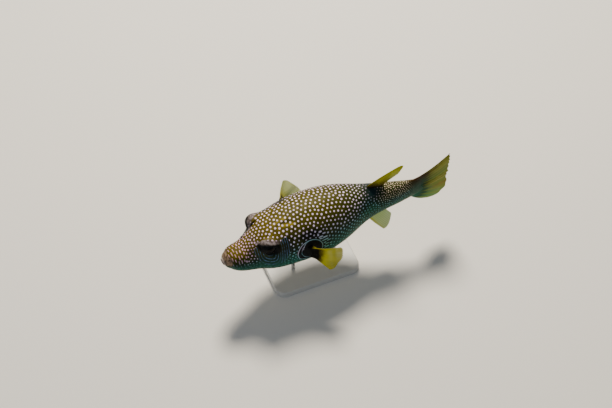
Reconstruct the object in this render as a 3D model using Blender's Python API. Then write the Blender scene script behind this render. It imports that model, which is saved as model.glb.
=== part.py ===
"""A white-spotted pufferfish, life size, held in its swimming pose by a plain display stand.

Metres, +Z up. The head points to -X, the fish's left side faces -Y, and the stand's foot is at Z = 0.
Every section of the body is a ring in a plane square to the spine, so each thin cut between
head, trunk and tail is flat.
"""

import math

import bmesh
import bpy
import numpy as np

# ---- driving sizes ----
BODY_LENGTH = 0.250  # the spine's line, from just in front of the lips to the root of the tail fin
SPINE_START = (-0.1515, -0.0145, 0.0900)
LIPS = 0.0025  # where on that line the lips are
GAP = 0.0003  # between pieces that meet
AROUND = 44  # points in a ring of the body

# Lines of the body. Each row: distance along the spine, half-width, level of the widest point
# above the spine, and the height of the back and the depth of the belly from that level.
BODY_LINES = (
    (0.0025, 0.0044, -0.0066, 0.0034, 0.0038),
    (0.0040, 0.0062, -0.0068, 0.0050, 0.0056),
    (0.0060, 0.0088, -0.0071, 0.0072, 0.0080),
    (0.0090, 0.0117, -0.0075, 0.0098, 0.0108),
    (0.0140, 0.0148, -0.0082, 0.0132, 0.0144),
    (0.0200, 0.0167, -0.0096, 0.0160, 0.0172),
    (0.0280, 0.0180, -0.0112, 0.0190, 0.0196),
    (0.0370, 0.0203, -0.0100, 0.0236, 0.0240),
    (0.0440, 0.0238, -0.0076, 0.0272, 0.0274),
    (0.0500, 0.0278, -0.0060, 0.0298, 0.0300),
    (0.0660, 0.0334, -0.0042, 0.0345, 0.0358),
    (0.0900, 0.0368, -0.0032, 0.0388, 0.0400),
    (0.1150, 0.0372, -0.0032, 0.0408, 0.0432),
    (0.1400, 0.0350, -0.0026, 0.0390, 0.0425),
    (0.1660, 0.0281, -0.0012, 0.0330, 0.0345),
    (0.1840, 0.0213, 0.0002, 0.0275, 0.0262),
    (0.2040, 0.0160, 0.0016, 0.0222, 0.0198),
    (0.2280, 0.0110, 0.0026, 0.0178, 0.0172),
    (0.2500, 0.0046, 0.0030, 0.0154, 0.0148),
)
# How the spine turns: distance along it, and degrees towards +Y going back.
SPINE_TURNS = ((0.0, 5.5), (0.055, 6.0), (0.095, 5.5), (0.125, 3.0), (0.160, -1.0), (0.190, -3.5),
               (0.220, -5.0), (0.250, -4.0))
BACK_FULLNESS = 2.05  # exponents of the rounded section: 2 is an ellipse, more is boxier
BELLY_FULLNESS = 2.25

HEAD_END = 0.086  # the cut behind the gill cover
TRUNK_END = 0.218  # the cut behind the dorsal and anal fins

# ---- head ----
MOUTH_HALF = (0.0036, 0.0019)  # half-width and half-height of the mouth's opening
MOUTH_DEPTH = 0.0060
LIP_ROUND = 0.0009
EYE_RADIUS = 0.0098
EYE_AT = (0.0536, 0.0190, 0.0150)  # along the spine, out to the side, above the spine
BROW_AT = (0.0555, 0.0240, 0.0180)
BROW_RISE = 0.0040
BROW_REACH = 0.0108
NOSTRIL_AT = (0.0335, 0.0108, 0.0185)
NOSTRIL_FLAP = (0.0022, 0.0012, 0.0024)  # length, half-thickness and rise above the skin

# ---- stand ----
BASE_HALF = (0.0550, 0.0350)
BASE_THICK = 0.0080
BASE_CORNER = 0.0120
BASE_CHAMFER = 0.0012
ROD_RADIUS = 0.0025
ROD_STATIONS = (0.094, 0.150)
BASE_STATION = 0.117
ROD_BURIED = 0.0100  # how far each rod runs up into the belly

# ---- colours (linear red, green, blue), roughness and metallic of each finish ----
FINISHES = {
    "spotted_skin": ((0.110, 0.078, 0.016), 0.45, 0.0),
    "yellow_fin": ((0.420, 0.330, 0.030), 0.40, 0.0),
    "olive_fin": ((0.180, 0.190, 0.050), 0.40, 0.0),
    "dark_eye": ((0.020, 0.022, 0.030), 0.08, 0.0),
    "tooth_enamel": ((0.760, 0.700, 0.560), 0.30, 0.0),
    "grey_powder_coat": ((0.560, 0.560, 0.540), 0.60, 0.0),
    "brushed_steel": ((0.560, 0.570, 0.580), 0.30, 1.0),
}


def clear_scene():
    for obj in list(bpy.data.objects):
        bpy.data.objects.remove(obj)


def finish(name):
    """The material of that name, made once."""
    material = bpy.data.materials.get(name)
    if material is None:
        colour, roughness, metallic = FINISHES[name]
        material = bpy.data.materials.new(name)
        material.use_nodes = True
        shader = material.node_tree.nodes["Principled BSDF"]
        shader.inputs["Base Color"].default_value = (*colour, 1.0)
        shader.inputs["Roughness"].default_value = roughness
        shader.inputs["Metallic"].default_value = metallic
    return material


def solid(name, points, faces, material):
    """A mesh object of these points and faces, with all its faces pointing out."""
    mesh = bpy.data.meshes.new(name)
    mesh.from_pydata([tuple(p) for p in points], [], faces)
    work = bmesh.new()
    work.from_mesh(mesh)
    bmesh.ops.triangulate(work, faces=[f for f in work.faces if len(f.verts) > 4])
    bmesh.ops.recalc_face_normals(work, faces=work.faces)
    if work.calc_volume(signed=True) < 0:
        bmesh.ops.reverse_faces(work, faces=work.faces)
    work.to_mesh(mesh)
    work.free()
    mesh.shade_smooth()
    mesh.set_sharp_from_angle(angle=math.radians(40))
    mesh.materials.append(finish(material))
    obj = bpy.data.objects.new(name, mesh)
    bpy.context.scene.collection.objects.link(obj)
    return obj


def cut_away(target, cutter):
    """Takes the cutter's shape out of the target, and keeps the cutter as a hidden guide."""
    cutter.hide_render = True
    cutter.display_type = "WIRE"
    modifier = target.modifiers.new("cut " + cutter.name, "BOOLEAN")
    modifier.operation = "DIFFERENCE"
    modifier.solver = "EXACT"
    modifier.object = cutter


# ---- smooth lines ----
def fair_curve(stations, values):
    """A natural cubic spline through the values, as a function of the station."""
    x = np.asarray(stations, float)
    y = np.asarray(values, float)
    h = np.diff(x)
    count = len(x)
    system = np.eye(count)
    right = np.zeros(count)
    for i in range(1, count - 1):
        system[i, i - 1:i + 2] = h[i - 1], 2 * (h[i - 1] + h[i]), h[i]
        right[i] = 6 * ((y[i + 1] - y[i]) / h[i] - (y[i] - y[i - 1]) / h[i - 1])
    bend = np.linalg.solve(system, right)

    def at(s):
        s = np.clip(s, x[0], x[-1])
        i = np.clip(np.searchsorted(x, s) - 1, 0, count - 2)
        a = (x[i + 1] - s) / h[i]
        b = 1 - a
        return a * y[i] + b * y[i + 1] + ((a**3 - a) * bend[i] + (b**3 - b) * bend[i + 1]) * h[i]**2 / 6

    return at


_lines = np.array(BODY_LINES)
half_width = fair_curve(_lines[:, 0], _lines[:, 1])
mid_level = fair_curve(_lines[:, 0], _lines[:, 2])
back_height = fair_curve(_lines[:, 0], _lines[:, 3])
belly_depth = fair_curve(_lines[:, 0], _lines[:, 4])
spine_turn = fair_curve(*zip(*SPINE_TURNS))

SPINE_STEP = 0.001
_spine_s = np.arange(0.0, BODY_LENGTH + SPINE_STEP / 2, SPINE_STEP)
_turns = np.radians(spine_turn(_spine_s + SPINE_STEP / 2))
_spine_x = SPINE_START[0] + np.concatenate([[0], np.cumsum(np.cos(_turns))[:-1]]) * SPINE_STEP
_spine_y = SPINE_START[1] + np.concatenate([[0], np.cumsum(np.sin(_turns))[:-1]]) * SPINE_STEP


def body_frame(s):
    """Where the spine is at s, with the directions back along it and out to the fish's left."""
    s = np.asarray(s, float)
    turn = np.radians(spine_turn(s))
    zero = np.zeros_like(s)
    inside = np.clip(s, 0.0, BODY_LENGTH)
    back = np.stack([np.cos(turn), np.sin(turn), zero], -1)
    left = np.stack([np.sin(turn), -np.cos(turn), zero], -1)
    place = np.stack([np.interp(inside, _spine_s, _spine_x), np.interp(inside, _spine_s, _spine_y),
                      zero + SPINE_START[2]], -1)
    return place + back * (s - inside)[..., None], back, left


def in_body(s, left_by, up_by):
    """The point at s along the spine, that far to the fish's left and above the spine."""
    place, _, left = body_frame(s)
    up = np.array([0.0, 0.0, 1.0])
    return place + left * np.asarray(left_by, float)[..., None] + up * np.asarray(up_by, float)[..., None]


def rounded(value, fullness):
    return np.sign(value) * np.abs(value) ** (2 / fullness)


def skin_point(s, angle):
    """The skin's point at s, where angle 0 is the back's ridge and 90 degrees the left flank."""
    across, upright = np.sin(angle), np.cos(angle)
    fullness = np.where(upright > 0, BACK_FULLNESS, BELLY_FULLNESS)
    height = np.where(upright > 0, back_height(s), belly_depth(s))
    left_by = half_width(s) * rounded(across, fullness)
    up_by = mid_level(s) + height * rounded(upright, fullness)
    for side in (1, -1):  # the brow over each eye swells out in the plane of its ring
        away = np.sqrt((s - BROW_AT[0])**2 + (left_by - side * BROW_AT[1])**2 + (up_by - BROW_AT[2])**2)
        swell = BROW_RISE * np.exp(-(away / BROW_REACH)**2)
        reach = np.hypot(left_by, up_by) + 1e-6
        left_by = left_by + swell * left_by / reach
        up_by = up_by + swell * up_by / reach
    return in_body(s, left_by, up_by)


def body_rings(stations):
    angles = np.linspace(0, 2 * math.pi, AROUND, endpoint=False)
    s, angle = np.meshgrid(np.asarray(stations, float), angles, indexing="ij")
    return skin_point(s, angle)


def mouth_rings():
    """Rings that roll over the lips and run back into the mouth."""
    angles = np.linspace(0, 2 * math.pi, AROUND, endpoint=False)
    rings = []
    lip_half = (half_width(LIPS), (back_height(LIPS) + belly_depth(LIPS)) / 2)
    for share, depth in ((0.45, -LIP_ROUND * 0.4), (1.0, LIP_ROUND), (1.0, MOUTH_DEPTH)):
        half = [outer + (inner - outer) * share for outer, inner in zip(lip_half, MOUTH_HALF)]
        left_by = half[0] * np.sin(angles)
        up_by = mid_level(LIPS) + half[1] * np.cos(angles)
        rings.append(in_body(np.full(AROUND, LIPS + depth), left_by, up_by))
    return np.array(rings[::-1])


def loft(name, rings, material):
    """Joins rings of points, one after another, and closes both ends with a flat face."""
    count, around = rings.shape[:2]
    faces = [tuple(range(around)), tuple(range((count - 1) * around, count * around))]
    for r in range(count - 1):
        for k in range(around):
            after = (k + 1) % around
            faces.append((r * around + k, r * around + after, (r + 1) * around + after, (r + 1) * around + k))
    return solid(name, rings.reshape(-1, 3), faces, material)


# ---- fins ----
def fin_sheet(roots, rays, frame, rows, columns, curl=(1.0, 1.0, 1.0), bow=0.0, fold=0.0):
    """The middle surface of a fin, as rows from root to tip and columns from the leading ray back.

    rays gives how far each ray reaches back, to the left and up, and curl is the power of the way
    along the ray for each of the three. bow swells the fin to the left between root and tip, and
    fold ripples its outer part across the rays.
    """
    along = np.linspace(0, 1, rows)[:, None]
    across = np.linspace(0, 1, columns)
    sheet = np.repeat(roots(across)[None], rows, axis=0)
    back, left = frame
    for reach, way, power in zip(rays(across), (back, left, np.array([0.0, 0.0, 1.0])), curl):
        sheet = sheet + (along ** power * reach[None])[..., None] * way
    ripple = bow * np.sin(math.pi * along) + fold * along * np.sin(3 * math.pi * across)
    return sheet + ripple[..., None] * left


def sheet_normals(sheet):
    along = np.gradient(sheet, axis=0)
    across = np.gradient(sheet, axis=1)
    normal = np.cross(along, across)
    return normal / np.linalg.norm(normal, axis=-1, keepdims=True)


def fin_solid(name, sheet, thickness, material, grow=0.0):
    """Gives the sheet a thickness for each row, and closes it round its rim.

    grow makes the same fin larger all round, as a cutter for the slot that holds it.
    """
    rows, columns = sheet.shape[:2]
    normal = sheet_normals(sheet)
    if grow:
        along = np.gradient(sheet, axis=0)
        across = np.gradient(sheet, axis=1)
        along /= np.linalg.norm(along, axis=-1, keepdims=True)
        across /= np.linalg.norm(across, axis=-1, keepdims=True)
        sheet = sheet.copy()
        sheet[0] -= along[0] * grow
        sheet[:, 0] -= across[:, 0] * grow
        sheet[:, -1] += across[:, -1] * grow
    half = (np.asarray(thickness, float) / 2 + grow)[:, None, None] * np.ones((1, columns, 1))
    edge = np.ones((1, columns, 1))
    edge[0, [0, -1], 0] = 0.45
    half = half * edge if not grow else half
    points = np.concatenate([(sheet + normal * half).reshape(-1, 3), (sheet - normal * half).reshape(-1, 3)])
    other = rows * columns
    faces = []
    for r in range(rows - 1):
        for c in range(columns - 1):
            a, b = r * columns + c, (r + 1) * columns + c
            faces.append((a, a + 1, b + 1, b))
            faces.append((other + a, other + b, other + b + 1, other + a + 1))
    rim = [c for c in range(columns)]
    rim += [r * columns + columns - 1 for r in range(1, rows)]
    rim += [(rows - 1) * columns + c for c in range(columns - 2, -1, -1)]
    rim += [r * columns for r in range(rows - 2, 0, -1)]
    for here, there in zip(rim, rim[1:] + rim[:1]):
        faces.append((here, other + here, other + there, there))
    return solid(name, points, faces, material)


def blend(start, end, share):
    return np.asarray(start, float) * (1 - share) + np.asarray(end, float) * share


def rim_swell(across, roundness):
    """How much longer the rays between the first and the last are, for a rounded rim."""
    return 1 + roundness * np.clip(np.sin(math.pi * across), 0, 1) ** 0.7


FIN_EDGE = 0.0009
TAIL_FIN = {
    "sunk": 0.0050, "root_half": 0.0118, "fan_degrees": (22.0, -40.0), "swing_degrees": 10.0,
    "bow": 0.0025, "fold": 0.0011, "rows": 9, "columns": 17,
    "lengths": ((0.0, 0.0615), (0.25, 0.0572), (0.50, 0.0566), (0.72, 0.0580), (0.88, 0.0480), (1.0, 0.0330)),
    "thickness": (0.0030, 0.0026, 0.0020, 0.0016, 0.0014, 0.0012, 0.0011, 0.0010, FIN_EDGE),
}


def tail_fin(body):
    """The fan of the tail, its rays spreading from the end of the tail stalk."""
    place, back, left = body_frame(BODY_LENGTH - TAIL_FIN["sunk"])
    up = np.array([0.0, 0.0, 1.0])
    level = mid_level(BODY_LENGTH)
    swing = math.radians(TAIL_FIN["swing_degrees"])
    ray_length = fair_curve(*zip(*TAIL_FIN["lengths"]))

    def roots(across):
        return place + up * (level + TAIL_FIN["root_half"] * (1 - 2 * across))[..., None]

    def rays(across):
        length = ray_length(across)
        angle = np.radians(blend(*TAIL_FIN["fan_degrees"], across))
        level_reach = length * np.cos(angle)
        return level_reach * math.cos(swing), -level_reach * math.sin(swing), length * np.sin(angle)

    sheet = fin_sheet(roots, rays, (back, left), TAIL_FIN["rows"], TAIL_FIN["columns"],
                      bow=TAIL_FIN["bow"], fold=TAIL_FIN["fold"])
    return build_fin("tail_fin", sheet, TAIL_FIN["thickness"], "olive_fin", body)


def midline_fin(name, spec, side, material, body):
    """The dorsal fin (side 1) or anal fin (side -1): rays rooted in the body's midline."""
    start, end = spec["stations"]

    def roots(across):
        s = start + (end - start) * across
        height = back_height(s) if side > 0 else -belly_depth(s)
        return in_body(s, 0 * s, mid_level(s) + height - side * spec["sunk"])

    def rays(across):
        swell = rim_swell(across, spec["roundness"])
        return [blend(first, last, across) * swell
                for first, last in zip(spec["first_ray"], spec["last_ray"])]

    _, back, left = body_frame((start + end) / 2)
    sheet = fin_sheet(roots, rays, (back, left), spec["rows"], spec["columns"], FIN_CURL, spec["bow"])
    return build_fin(name, sheet, spec["thickness"], material, body)


# Rays are given as how far each reaches back, to the fish's left and up, from its root.
FIN_CURL = (1.35, 1.0, 0.80)  # they leave the body steeply, then sweep back
DORSAL_FIN = {
    "stations": (0.189, 0.209), "sunk": 0.0045, "rows": 8, "columns": 9, "roundness": 0.20,
    "first_ray": (0.0415, 0.0010, 0.0296), "last_ray": (0.0213, 0.0018, 0.0212),
    "bow": 0.0006,
    "thickness": (0.0046, 0.0040, 0.0026, 0.0018, 0.0014, 0.0012, 0.0010, FIN_EDGE),
}
ANAL_FIN = {
    "stations": (0.190, 0.211), "sunk": 0.0045, "rows": 8, "columns": 9, "roundness": 0.14,
    "first_ray": (0.0206, 0.0130, -0.0281), "last_ray": (0.0106, 0.0080, -0.0132),
    "bow": -0.0015,
    "thickness": (0.0046, 0.0040, 0.0026, 0.0018, 0.0014, 0.0012, 0.0010, FIN_EDGE),
}
PECTORAL_ROOT = {"station": 0.0990, "sunk": 0.0060, "half": 0.0105, "level": -0.0050, "lean": 0.0040}
PECTORAL_LOBE = (0.0030, 0.0150, 0.0)
PECTORAL_THICKNESS = (0.0070, 0.0070, 0.0062, 0.0046, 0.0030, 0.0020, 0.0015, 0.0012, 0.0010, FIN_EDGE)
PECTORAL_COLUMNS = 15
# The two fans are at different parts of their stroke: first and last ray, and how round the rim is.
PECTORAL_FANS = {
    "left": ((0.0291, 0.0106, 0.0021), (0.0106, 0.0114, -0.0128), 0.32),
    "right": ((0.0146, 0.0174, 0.0020), (0.0312, 0.0058, -0.0144), 0.36),
}


def pectoral_fin(word, side, body):
    """The fan behind the gill opening, on a fleshy lobe. side is 1 for the left fin."""
    root = PECTORAL_ROOT
    _, back, left = body_frame(root["station"])
    first, last, roundness = PECTORAL_FANS[word]

    def roots(across):
        s = root["station"] + root["lean"] * (across - 0.5)
        out = half_width(root["station"]) - root["sunk"] + 0 * across
        return in_body(s, side * out, root["level"] + root["half"] * (1 - 2 * across))

    along = np.linspace(0, 1, len(PECTORAL_THICKNESS))[:, None]
    across = np.linspace(0, 1, PECTORAL_COLUMNS)
    sheet = np.repeat(roots(across)[None], len(along), axis=0)
    swell = rim_swell(across, roundness)
    for k, way in enumerate((back, left * side, np.array([0.0, 0.0, 1.0]))):
        lobe = PECTORAL_LOBE[k] * (1 - (1 - along) ** 3)
        fan = along ** 1.7 * (blend(first[k], last[k], across) * swell)[None]
        sheet = sheet + (lobe + fan)[..., None] * way
    return build_fin("pectoral_fin_" + word, sheet, PECTORAL_THICKNESS, "yellow_fin", body)


def build_fin(name, sheet, thickness, material, body):
    """The fin, and the slot in the body that its root stands in."""
    cutter = fin_solid(name + "_slot", sheet, thickness, material, grow=GAP * 1.3)
    cut_away(body, cutter)
    return fin_solid(name, sheet, thickness, material)


# ---- eyes, mouth and nostrils ----
def ball(name, centre, radius, material, segments=20, rings=12):
    mesh = bpy.data.meshes.new(name)
    work = bmesh.new()
    bmesh.ops.create_uvsphere(work, u_segments=segments, v_segments=rings, radius=radius)
    work.to_mesh(mesh)
    work.free()
    mesh.shade_smooth()
    mesh.materials.append(finish(material))
    obj = bpy.data.objects.new(name, mesh)
    obj.location = centre
    bpy.context.scene.collection.objects.link(obj)
    return obj


def eyes(head):
    for side, word in ((1, "left"), (-1, "right")):
        centre = in_body(EYE_AT[0], side * EYE_AT[1], EYE_AT[2])
        cut_away(head, ball("socket_" + word, centre, EYE_RADIUS + GAP * 1.5, "dark_eye"))
        ball("eye_" + word, centre, EYE_RADIUS, "dark_eye")


def beak():
    """The two plates of fused teeth that show between the lips."""
    half_across = MOUTH_HALF[0] - 0.0006
    thick = MOUTH_HALF[1] - 0.0008
    front, rear = LIPS + 0.0004, LIPS + MOUTH_DEPTH - 0.0010
    arc = np.linspace(-1, 1, 9)
    level = mid_level(LIPS)
    for word, way in (("upper", 1), ("lower", -1)):
        outline = []
        for share in arc:  # the biting edge is nearly level, the gum side follows the mouth's arc
            outline.append((share * half_across, way * GAP * 0.6))
        for share in arc[::-1]:
            outline.append((share * half_across, way * (GAP * 1.6 + thick * math.sqrt(1 - (0.96 * share)**2))))
        rings = []
        for s, shrink in ((front, 0.80), (front + 0.0009, 1.0), (rear, 1.0)):
            left_by = np.array([p[0] for p in outline]) * shrink
            up_by = level + np.array([p[1] for p in outline]) * (1 if shrink == 1.0 else 0.9)
            rings.append(in_body(np.full(len(outline), s) + np.abs(left_by) * 0.10, left_by, up_by))
        loft("beak_" + word, np.array(rings), "tooth_enamel")


def nostrils(head):
    """A short forked flap of skin stands beside each nostril, on a peg in the snout."""
    s, out, rise = NOSTRIL_AT
    length, half, height = NOSTRIL_FLAP
    for side, word in ((1, "left"), (-1, "right")):
        base, back, left = body_frame(s)
        up = np.array([0.0, 0.0, 1.0])
        outward = (left * side * 0.62 + up * 0.78)
        foot = in_body(s, side * out, mid_level(s) + rise)
        rings, pocket = [], []
        for share, wide, along in ((-1.0, 0.6, 0.0), (0.0, 0.8, 0.0), (0.5, 1.0, 0.3), (1.0, 0.5, 0.9)):
            centre = foot + outward * height * (1 + share) + back * along * length * 0.4
            side_way = np.cross(back, outward)
            ring = [centre + back * math.cos(a) * length / 2 * wide + side_way * math.sin(a) * half * wide
                    for a in np.linspace(0, 2 * math.pi, 10, endpoint=False)]
            rings.append(ring)
            grown = [centre + (p - centre) * (1 + GAP * 1.6 / (half * wide)) for p in ring]
            pocket.append([p - outward * GAP * 1.5 for p in grown] if share < 0 else grown)
        cut_away(head, loft("pocket_" + word, np.array(pocket), "spotted_skin"))
        loft("nostril_" + word, np.array(rings), "spotted_skin")


# ---- stand ----
def stand_base():
    """A flat plate with round corners and a small chamfer at its top edge."""
    corners = []
    for quarter in range(4):
        sign_x = 1 if quarter in (0, 3) else -1
        sign_y = 1 if quarter in (0, 1) else -1
        for step in range(9):
            turn = math.pi / 2 * (quarter + step / 8)
            corners.append((sign_x * (BASE_HALF[0] - BASE_CORNER) + BASE_CORNER * math.cos(turn),
                            sign_y * (BASE_HALF[1] - BASE_CORNER) + BASE_CORNER * math.sin(turn)))
    centre = in_body(BASE_STATION, 0.0, 0.0)
    rings = []
    for height, inset in ((0.0, 0.0), (BASE_THICK - BASE_CHAMFER, 0.0), (BASE_THICK, BASE_CHAMFER)):
        shrink = [1 - inset / half for half in BASE_HALF]
        rings.append([(centre[0] + x * shrink[0], centre[1] + y * shrink[1], height) for x, y in corners])
    return loft("stand_base", np.array(rings), "grey_powder_coat")


def stand_rods(trunk):
    """Two upright rods, each in a blind hole in the belly."""
    around = np.linspace(0, 2 * math.pi, 20, endpoint=False)
    for s, word in zip(ROD_STATIONS, ("front", "rear")):
        centre = in_body(s, 0.0, 0.0)
        belly = SPINE_START[2] + mid_level(s) - belly_depth(s)
        top = belly + ROD_BURIED
        for name, radius, low, high in (("stand_rod_" + word, ROD_RADIUS, BASE_THICK + GAP, top),
                                        ("rod_hole_" + word, ROD_RADIUS + GAP, belly - 0.004, top + GAP)):
            ring = [(centre[0] + radius * math.cos(a), centre[1] + radius * math.sin(a)) for a in around]
            rod = loft(name, np.array([[(x, y, z) for x, y in ring] for z in (low, high)]), "brushed_steel")
            if name.startswith("rod_hole"):
                cut_away(trunk, rod)


def main():
    clear_scene()
    head_stations = (LIPS, 0.004, 0.006, 0.009, 0.013, 0.019, 0.025, 0.031, 0.036, 0.040, 0.044, 0.048, 0.052,
                     0.056, 0.060, 0.065, 0.071, 0.078, HEAD_END)
    head_rings = np.concatenate([mouth_rings(), body_rings(head_stations)])
    head = loft("head", head_rings, "spotted_skin")
    trunk = loft("trunk", body_rings(np.linspace(HEAD_END + GAP, TRUNK_END, 19)), "spotted_skin")
    tail = loft("tail", body_rings(np.linspace(TRUNK_END + GAP, BODY_LENGTH, 7)), "spotted_skin")
    eyes(head)
    beak()
    nostrils(head)
    pectoral_fin("left", 1, trunk)
    pectoral_fin("right", -1, trunk)
    midline_fin("dorsal_fin", DORSAL_FIN, 1, "yellow_fin", trunk)
    midline_fin("anal_fin", ANAL_FIN, -1, "yellow_fin", trunk)
    tail_fin(tail)
    stand_base()
    stand_rods(trunk)


main()
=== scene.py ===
"""A life-size museum model of a white-spotted pufferfish on a plain display stand."""
import math

import bpy
import numpy as np
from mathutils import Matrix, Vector, kdtree, noise


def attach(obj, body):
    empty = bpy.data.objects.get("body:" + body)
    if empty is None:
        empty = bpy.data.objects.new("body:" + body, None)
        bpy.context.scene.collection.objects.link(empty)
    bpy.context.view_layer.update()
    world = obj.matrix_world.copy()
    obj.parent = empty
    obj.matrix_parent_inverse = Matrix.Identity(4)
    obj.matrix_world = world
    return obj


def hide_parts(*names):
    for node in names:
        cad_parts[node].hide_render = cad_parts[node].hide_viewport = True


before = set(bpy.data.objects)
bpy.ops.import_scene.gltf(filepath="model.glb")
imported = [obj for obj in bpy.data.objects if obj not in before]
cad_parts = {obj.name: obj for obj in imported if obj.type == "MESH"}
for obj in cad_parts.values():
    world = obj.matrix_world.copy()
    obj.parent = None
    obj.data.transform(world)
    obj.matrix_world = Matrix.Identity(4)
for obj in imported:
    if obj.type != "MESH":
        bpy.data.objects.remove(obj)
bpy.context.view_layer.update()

# ---- skin of head, trunk and tail ----
# The fish is a cast in painted resin: one unbroken skin runs from inside the lips to the root of
# the tail fin. Its sections are rounded rings square to a spine that curves gently.
BODY_LENGTH = 0.250  # metres along the spine, from just in front of the lips to the tail fin's root
SPINE_START = (-0.1515, -0.0145, 0.0900)
LIPS = 0.0025  # station of the lips: places along the spine are called stations
BODY_LINES = np.array((  # station, half-width, level of the widest point, height of back, depth of belly
    (0.0025, 0.0044, -0.0066, 0.0034, 0.0038), (0.0040, 0.0062, -0.0068, 0.0050, 0.0056),
    (0.0060, 0.0088, -0.0071, 0.0072, 0.0080), (0.0090, 0.0117, -0.0075, 0.0098, 0.0108),
    (0.0140, 0.0148, -0.0082, 0.0132, 0.0144), (0.0200, 0.0167, -0.0096, 0.0160, 0.0172),
    (0.0280, 0.0180, -0.0112, 0.0190, 0.0196), (0.0370, 0.0203, -0.0100, 0.0236, 0.0240),
    (0.0440, 0.0238, -0.0076, 0.0272, 0.0274), (0.0500, 0.0278, -0.0060, 0.0298, 0.0300),
    (0.0660, 0.0334, -0.0042, 0.0345, 0.0358), (0.0900, 0.0368, -0.0032, 0.0388, 0.0400),
    (0.1150, 0.0372, -0.0032, 0.0408, 0.0432), (0.1400, 0.0350, -0.0026, 0.0390, 0.0425),
    (0.1660, 0.0281, -0.0012, 0.0330, 0.0345), (0.1840, 0.0213, 0.0002, 0.0275, 0.0262),
    (0.2040, 0.0160, 0.0016, 0.0222, 0.0198), (0.2280, 0.0110, 0.0026, 0.0178, 0.0172),
    (0.2500, 0.0046, 0.0030, 0.0154, 0.0148),
))
SPINE_TURNS = ((0.0, 5.5), (0.055, 6.0), (0.095, 5.5), (0.125, 3.0), (0.160, -1.0), (0.190, -3.5),
               (0.220, -5.0), (0.250, -4.0))  # station, degrees that the spine turns from +X
BACK_FULLNESS = 2.05  # exponents of the rounded section: 2 is an ellipse, more is boxier
BELLY_FULLNESS = 2.25
MOUTH_HALF = (0.0036, 0.0019)  # half-width and half-height of the mouth's opening
MOUTH_DEPTH = 0.0060
EYE_RADIUS = 0.0098
EYE_AT = (0.0536, 0.0190, 0.0150)  # station, out to the side, above the spine
BROW_AT = (0.0555, 0.0240, 0.0180)
BROW_RISE = 0.0040
BROW_REACH = 0.0108
LID_HALF_ANGLE = 43.0  # degrees from the eye's axis to the rim of the lid
SKIN_OVER_EYE = 0.0005
TAIL_SWING = 10.0  # degrees that the tail fin turns from the tail's own heading
TAIL_BOW = 0.0025  # how far the tail fin's middle bends to the fish's left
TAIL_TAPER = 0.0150  # how far the skin runs out over the tail fin's root
PECTORAL_AT = (0.0990, -0.0050)  # station and level of the fin's root
RING_AT = (0.1002, -0.0040)  # station and level of the middle of the ringed black patch
RING_HALF = (0.0170, 0.0165)  # half its length and half its height
OUTER_RING = 15.0  # fin_ring counts up to this at the patch's pale outer ring
DORSAL_AT = (0.1890, 0.2090)  # stations where the fin's root starts and ends
ANAL_AT = (0.1900, 0.2110)
UP = np.array([0.0, 0.0, 1.0])
MM = 0.001
FAR = 80.0  # mm, for skin that is nowhere near an eye
ALONG = 400
AROUND = 224


def fair_curve(stations, values):
    """A natural cubic spline through the values, as a function of the station."""
    x = np.asarray(stations, float)
    y = np.asarray(values, float)
    h = np.diff(x)
    count = len(x)
    system = np.eye(count)
    right = np.zeros(count)
    for i in range(1, count - 1):
        system[i, i - 1:i + 2] = h[i - 1], 2 * (h[i - 1] + h[i]), h[i]
        right[i] = 6 * ((y[i + 1] - y[i]) / h[i] - (y[i] - y[i - 1]) / h[i - 1])
    bend = np.linalg.solve(system, right)

    def at(s):
        s = np.clip(s, x[0], x[-1])
        i = np.clip(np.searchsorted(x, s) - 1, 0, count - 2)
        a = (x[i + 1] - s) / h[i]
        b = 1 - a
        return a * y[i] + b * y[i + 1] + ((a**3 - a) * bend[i] + (b**3 - b) * bend[i + 1]) * h[i]**2 / 6

    return at


half_width, mid_level, back_height, belly_depth = [
    fair_curve(BODY_LINES[:, 0], BODY_LINES[:, k]) for k in (1, 2, 3, 4)]
spine_turn = fair_curve(*zip(*SPINE_TURNS))
spine_s = np.arange(0.0, BODY_LENGTH + MM / 2, MM)
spine_way = np.radians(spine_turn(spine_s + MM / 2))
spine_x = SPINE_START[0] + np.concatenate([[0], np.cumsum(np.cos(spine_way))[:-1]]) * MM
spine_y = SPINE_START[1] + np.concatenate([[0], np.cumsum(np.sin(spine_way))[:-1]]) * MM


def body_frame(s):
    """Where the spine is at s, with the directions back along it and out to the fish's left."""
    s = np.asarray(s, float)
    turn = np.radians(spine_turn(s))
    zero = np.zeros_like(s)
    inside = np.clip(s, 0.0, BODY_LENGTH)
    back = np.stack([np.cos(turn), np.sin(turn), zero], -1)
    left = np.stack([np.sin(turn), -np.cos(turn), zero], -1)
    place = np.stack([np.interp(inside, spine_s, spine_x), np.interp(inside, spine_s, spine_y),
                      zero + SPINE_START[2]], -1)
    return place + back * (s - inside)[..., None], back, left


def in_body(s, left_by, up_by):
    """The point at s along the spine, that far to the fish's left and above the spine."""
    place, _, left = body_frame(s)
    return place + left * np.asarray(left_by, float)[..., None] + UP * np.asarray(up_by, float)[..., None]


def ease(value, low, high):
    """0 below low, 1 above high, and a smooth rise between."""
    t = np.clip((np.asarray(value, float) - low) / (high - low), 0, 1)
    return t * t * (3 - 2 * t)


def window(value, opens, open_at, closes, shut_at):
    """1 from open_at to closes, 0 outside opens and shut_at, and smooth between."""
    return ease(value, opens, open_at) * (1 - ease(value, closes, shut_at))


def hill(value, half):
    """1 where the value is 0, falling away smoothly on both sides."""
    return np.exp(-(np.asarray(value, float) / half)**2)


def unit(vectors):
    return vectors / (np.linalg.norm(vectors, axis=-1, keepdims=True) + 1e-12)


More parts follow.
